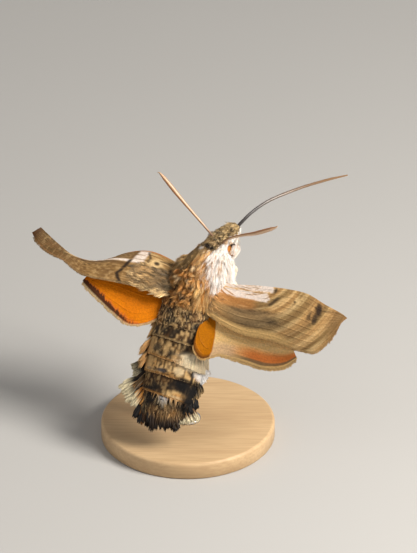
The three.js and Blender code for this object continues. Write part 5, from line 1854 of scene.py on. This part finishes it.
# %% Maple and steel
def maple_material():
    """Fine grain: noise drawn out along one axis in broad soft bands and thin dark flecks, under oil."""
    material, tree, shader, place = new_material("oiled_maple")
    laid = add_node(tree, "ShaderNodeMapping", {"Vector": place, "Scale": (60.0, 900.0, 900.0),
                                                "Rotation": (0.0, 0.0, 0.3)}).outputs["Vector"]
    flecks = noise_pattern(tree, laid, 3.5, 5.0)
    grain = add_node(tree, "ShaderNodeMath", {0: noise_pattern(tree, laid, 0.35, 3.0), 1: flecks},
                     operation="MULTIPLY").outputs["Value"]
    shade = add_node(tree, "ShaderNodeValToRGB", {"Fac": grain})
    for stop, position, colour in zip(shade.color_ramp.elements, (0.10, 0.40), MAPLE_TONES):
        stop.position = position
        stop.color = (*colour, 1)
    finish_material(tree, shader, shade.outputs["Color"], flecks, (0.38, 0.60), grain, 0.25, 0.00005,
                    specular=0.35)
    return material


def steel_material():
    """Steel with fine turning marks: noise squeezed along the rod changes gloss and height."""
    material, tree, shader, place = new_material("satin_steel")
    laid = add_node(tree, "ShaderNodeMapping", {"Vector": place, "Scale": (900.0, 900.0, 22000.0)})
    marks = noise_pattern(tree, laid.outputs["Vector"], 1.0, 3.0)
    shade = add_node(tree, "ShaderNodeMapRange", {"Value": marks, "To Min": 0.44, "To Max": 0.66})
    finish_material(tree, shader, shade.outputs["Result"], marks, (0.32, 0.52), marks, 0.15, 0.00002,
                    metallic=1.0)
    return material


# %% Base, rod and collar
base_low, base_high = (np.array(corner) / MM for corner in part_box("stand_base"))
rod_low, rod_high = (np.array(corner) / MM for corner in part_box("stand_rod"))
stand_middle = (base_low + base_high) / 2
base_radius = (base_high[0] - base_low[0]) / 2
base_top = base_high[2]
rod_radius = (rod_high[0] - rod_low[0]) / 2 * 0.98
HUB = 0.01
EDGE = 0.45
LOWER_EDGE = 0.2

bend = np.radians(np.linspace(0, 90, 9))
upper_edge = [(base_radius - EDGE + EDGE * np.cos(a), base_top - EDGE + EDGE * np.sin(a)) for a in bend]
base_profile = [(0, 0), (HUB, 0), (base_radius - LOWER_EDGE, 0), (base_radius, LOWER_EDGE), *upper_edge,
                (base_radius * 0.5, base_top), (HUB, base_top), (0, base_top)]
rod_profile = [(0, base_top - 0.4), (HUB, base_top - 0.4), (rod_radius, base_top - 0.4),
               (rod_radius, rod_high[2] - 0.05), (HUB, rod_high[2]), (0, rod_high[2])]
collar_profile = [(0, -0.10), (HUB, -0.10), (1.75, -0.10), (1.75, 0.35), (1.62, 0.48), (1.12, 0.48),
                  (1.02, 0.40), (HUB, 0.40), (0, 0.40)]
collar_profile = [(radius, base_top + height) for radius, height in collar_profile]

satin_steel = steel_material()
base = turn_up("base_turned", base_profile, stand_middle, 128, maple_material())
rod = turn_up("rod_turned", rod_profile, stand_middle, 48, satin_steel)
turn_up("rod_collar", collar_profile, stand_middle, 64, satin_steel)
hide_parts("stand_base")
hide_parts("stand_rod")
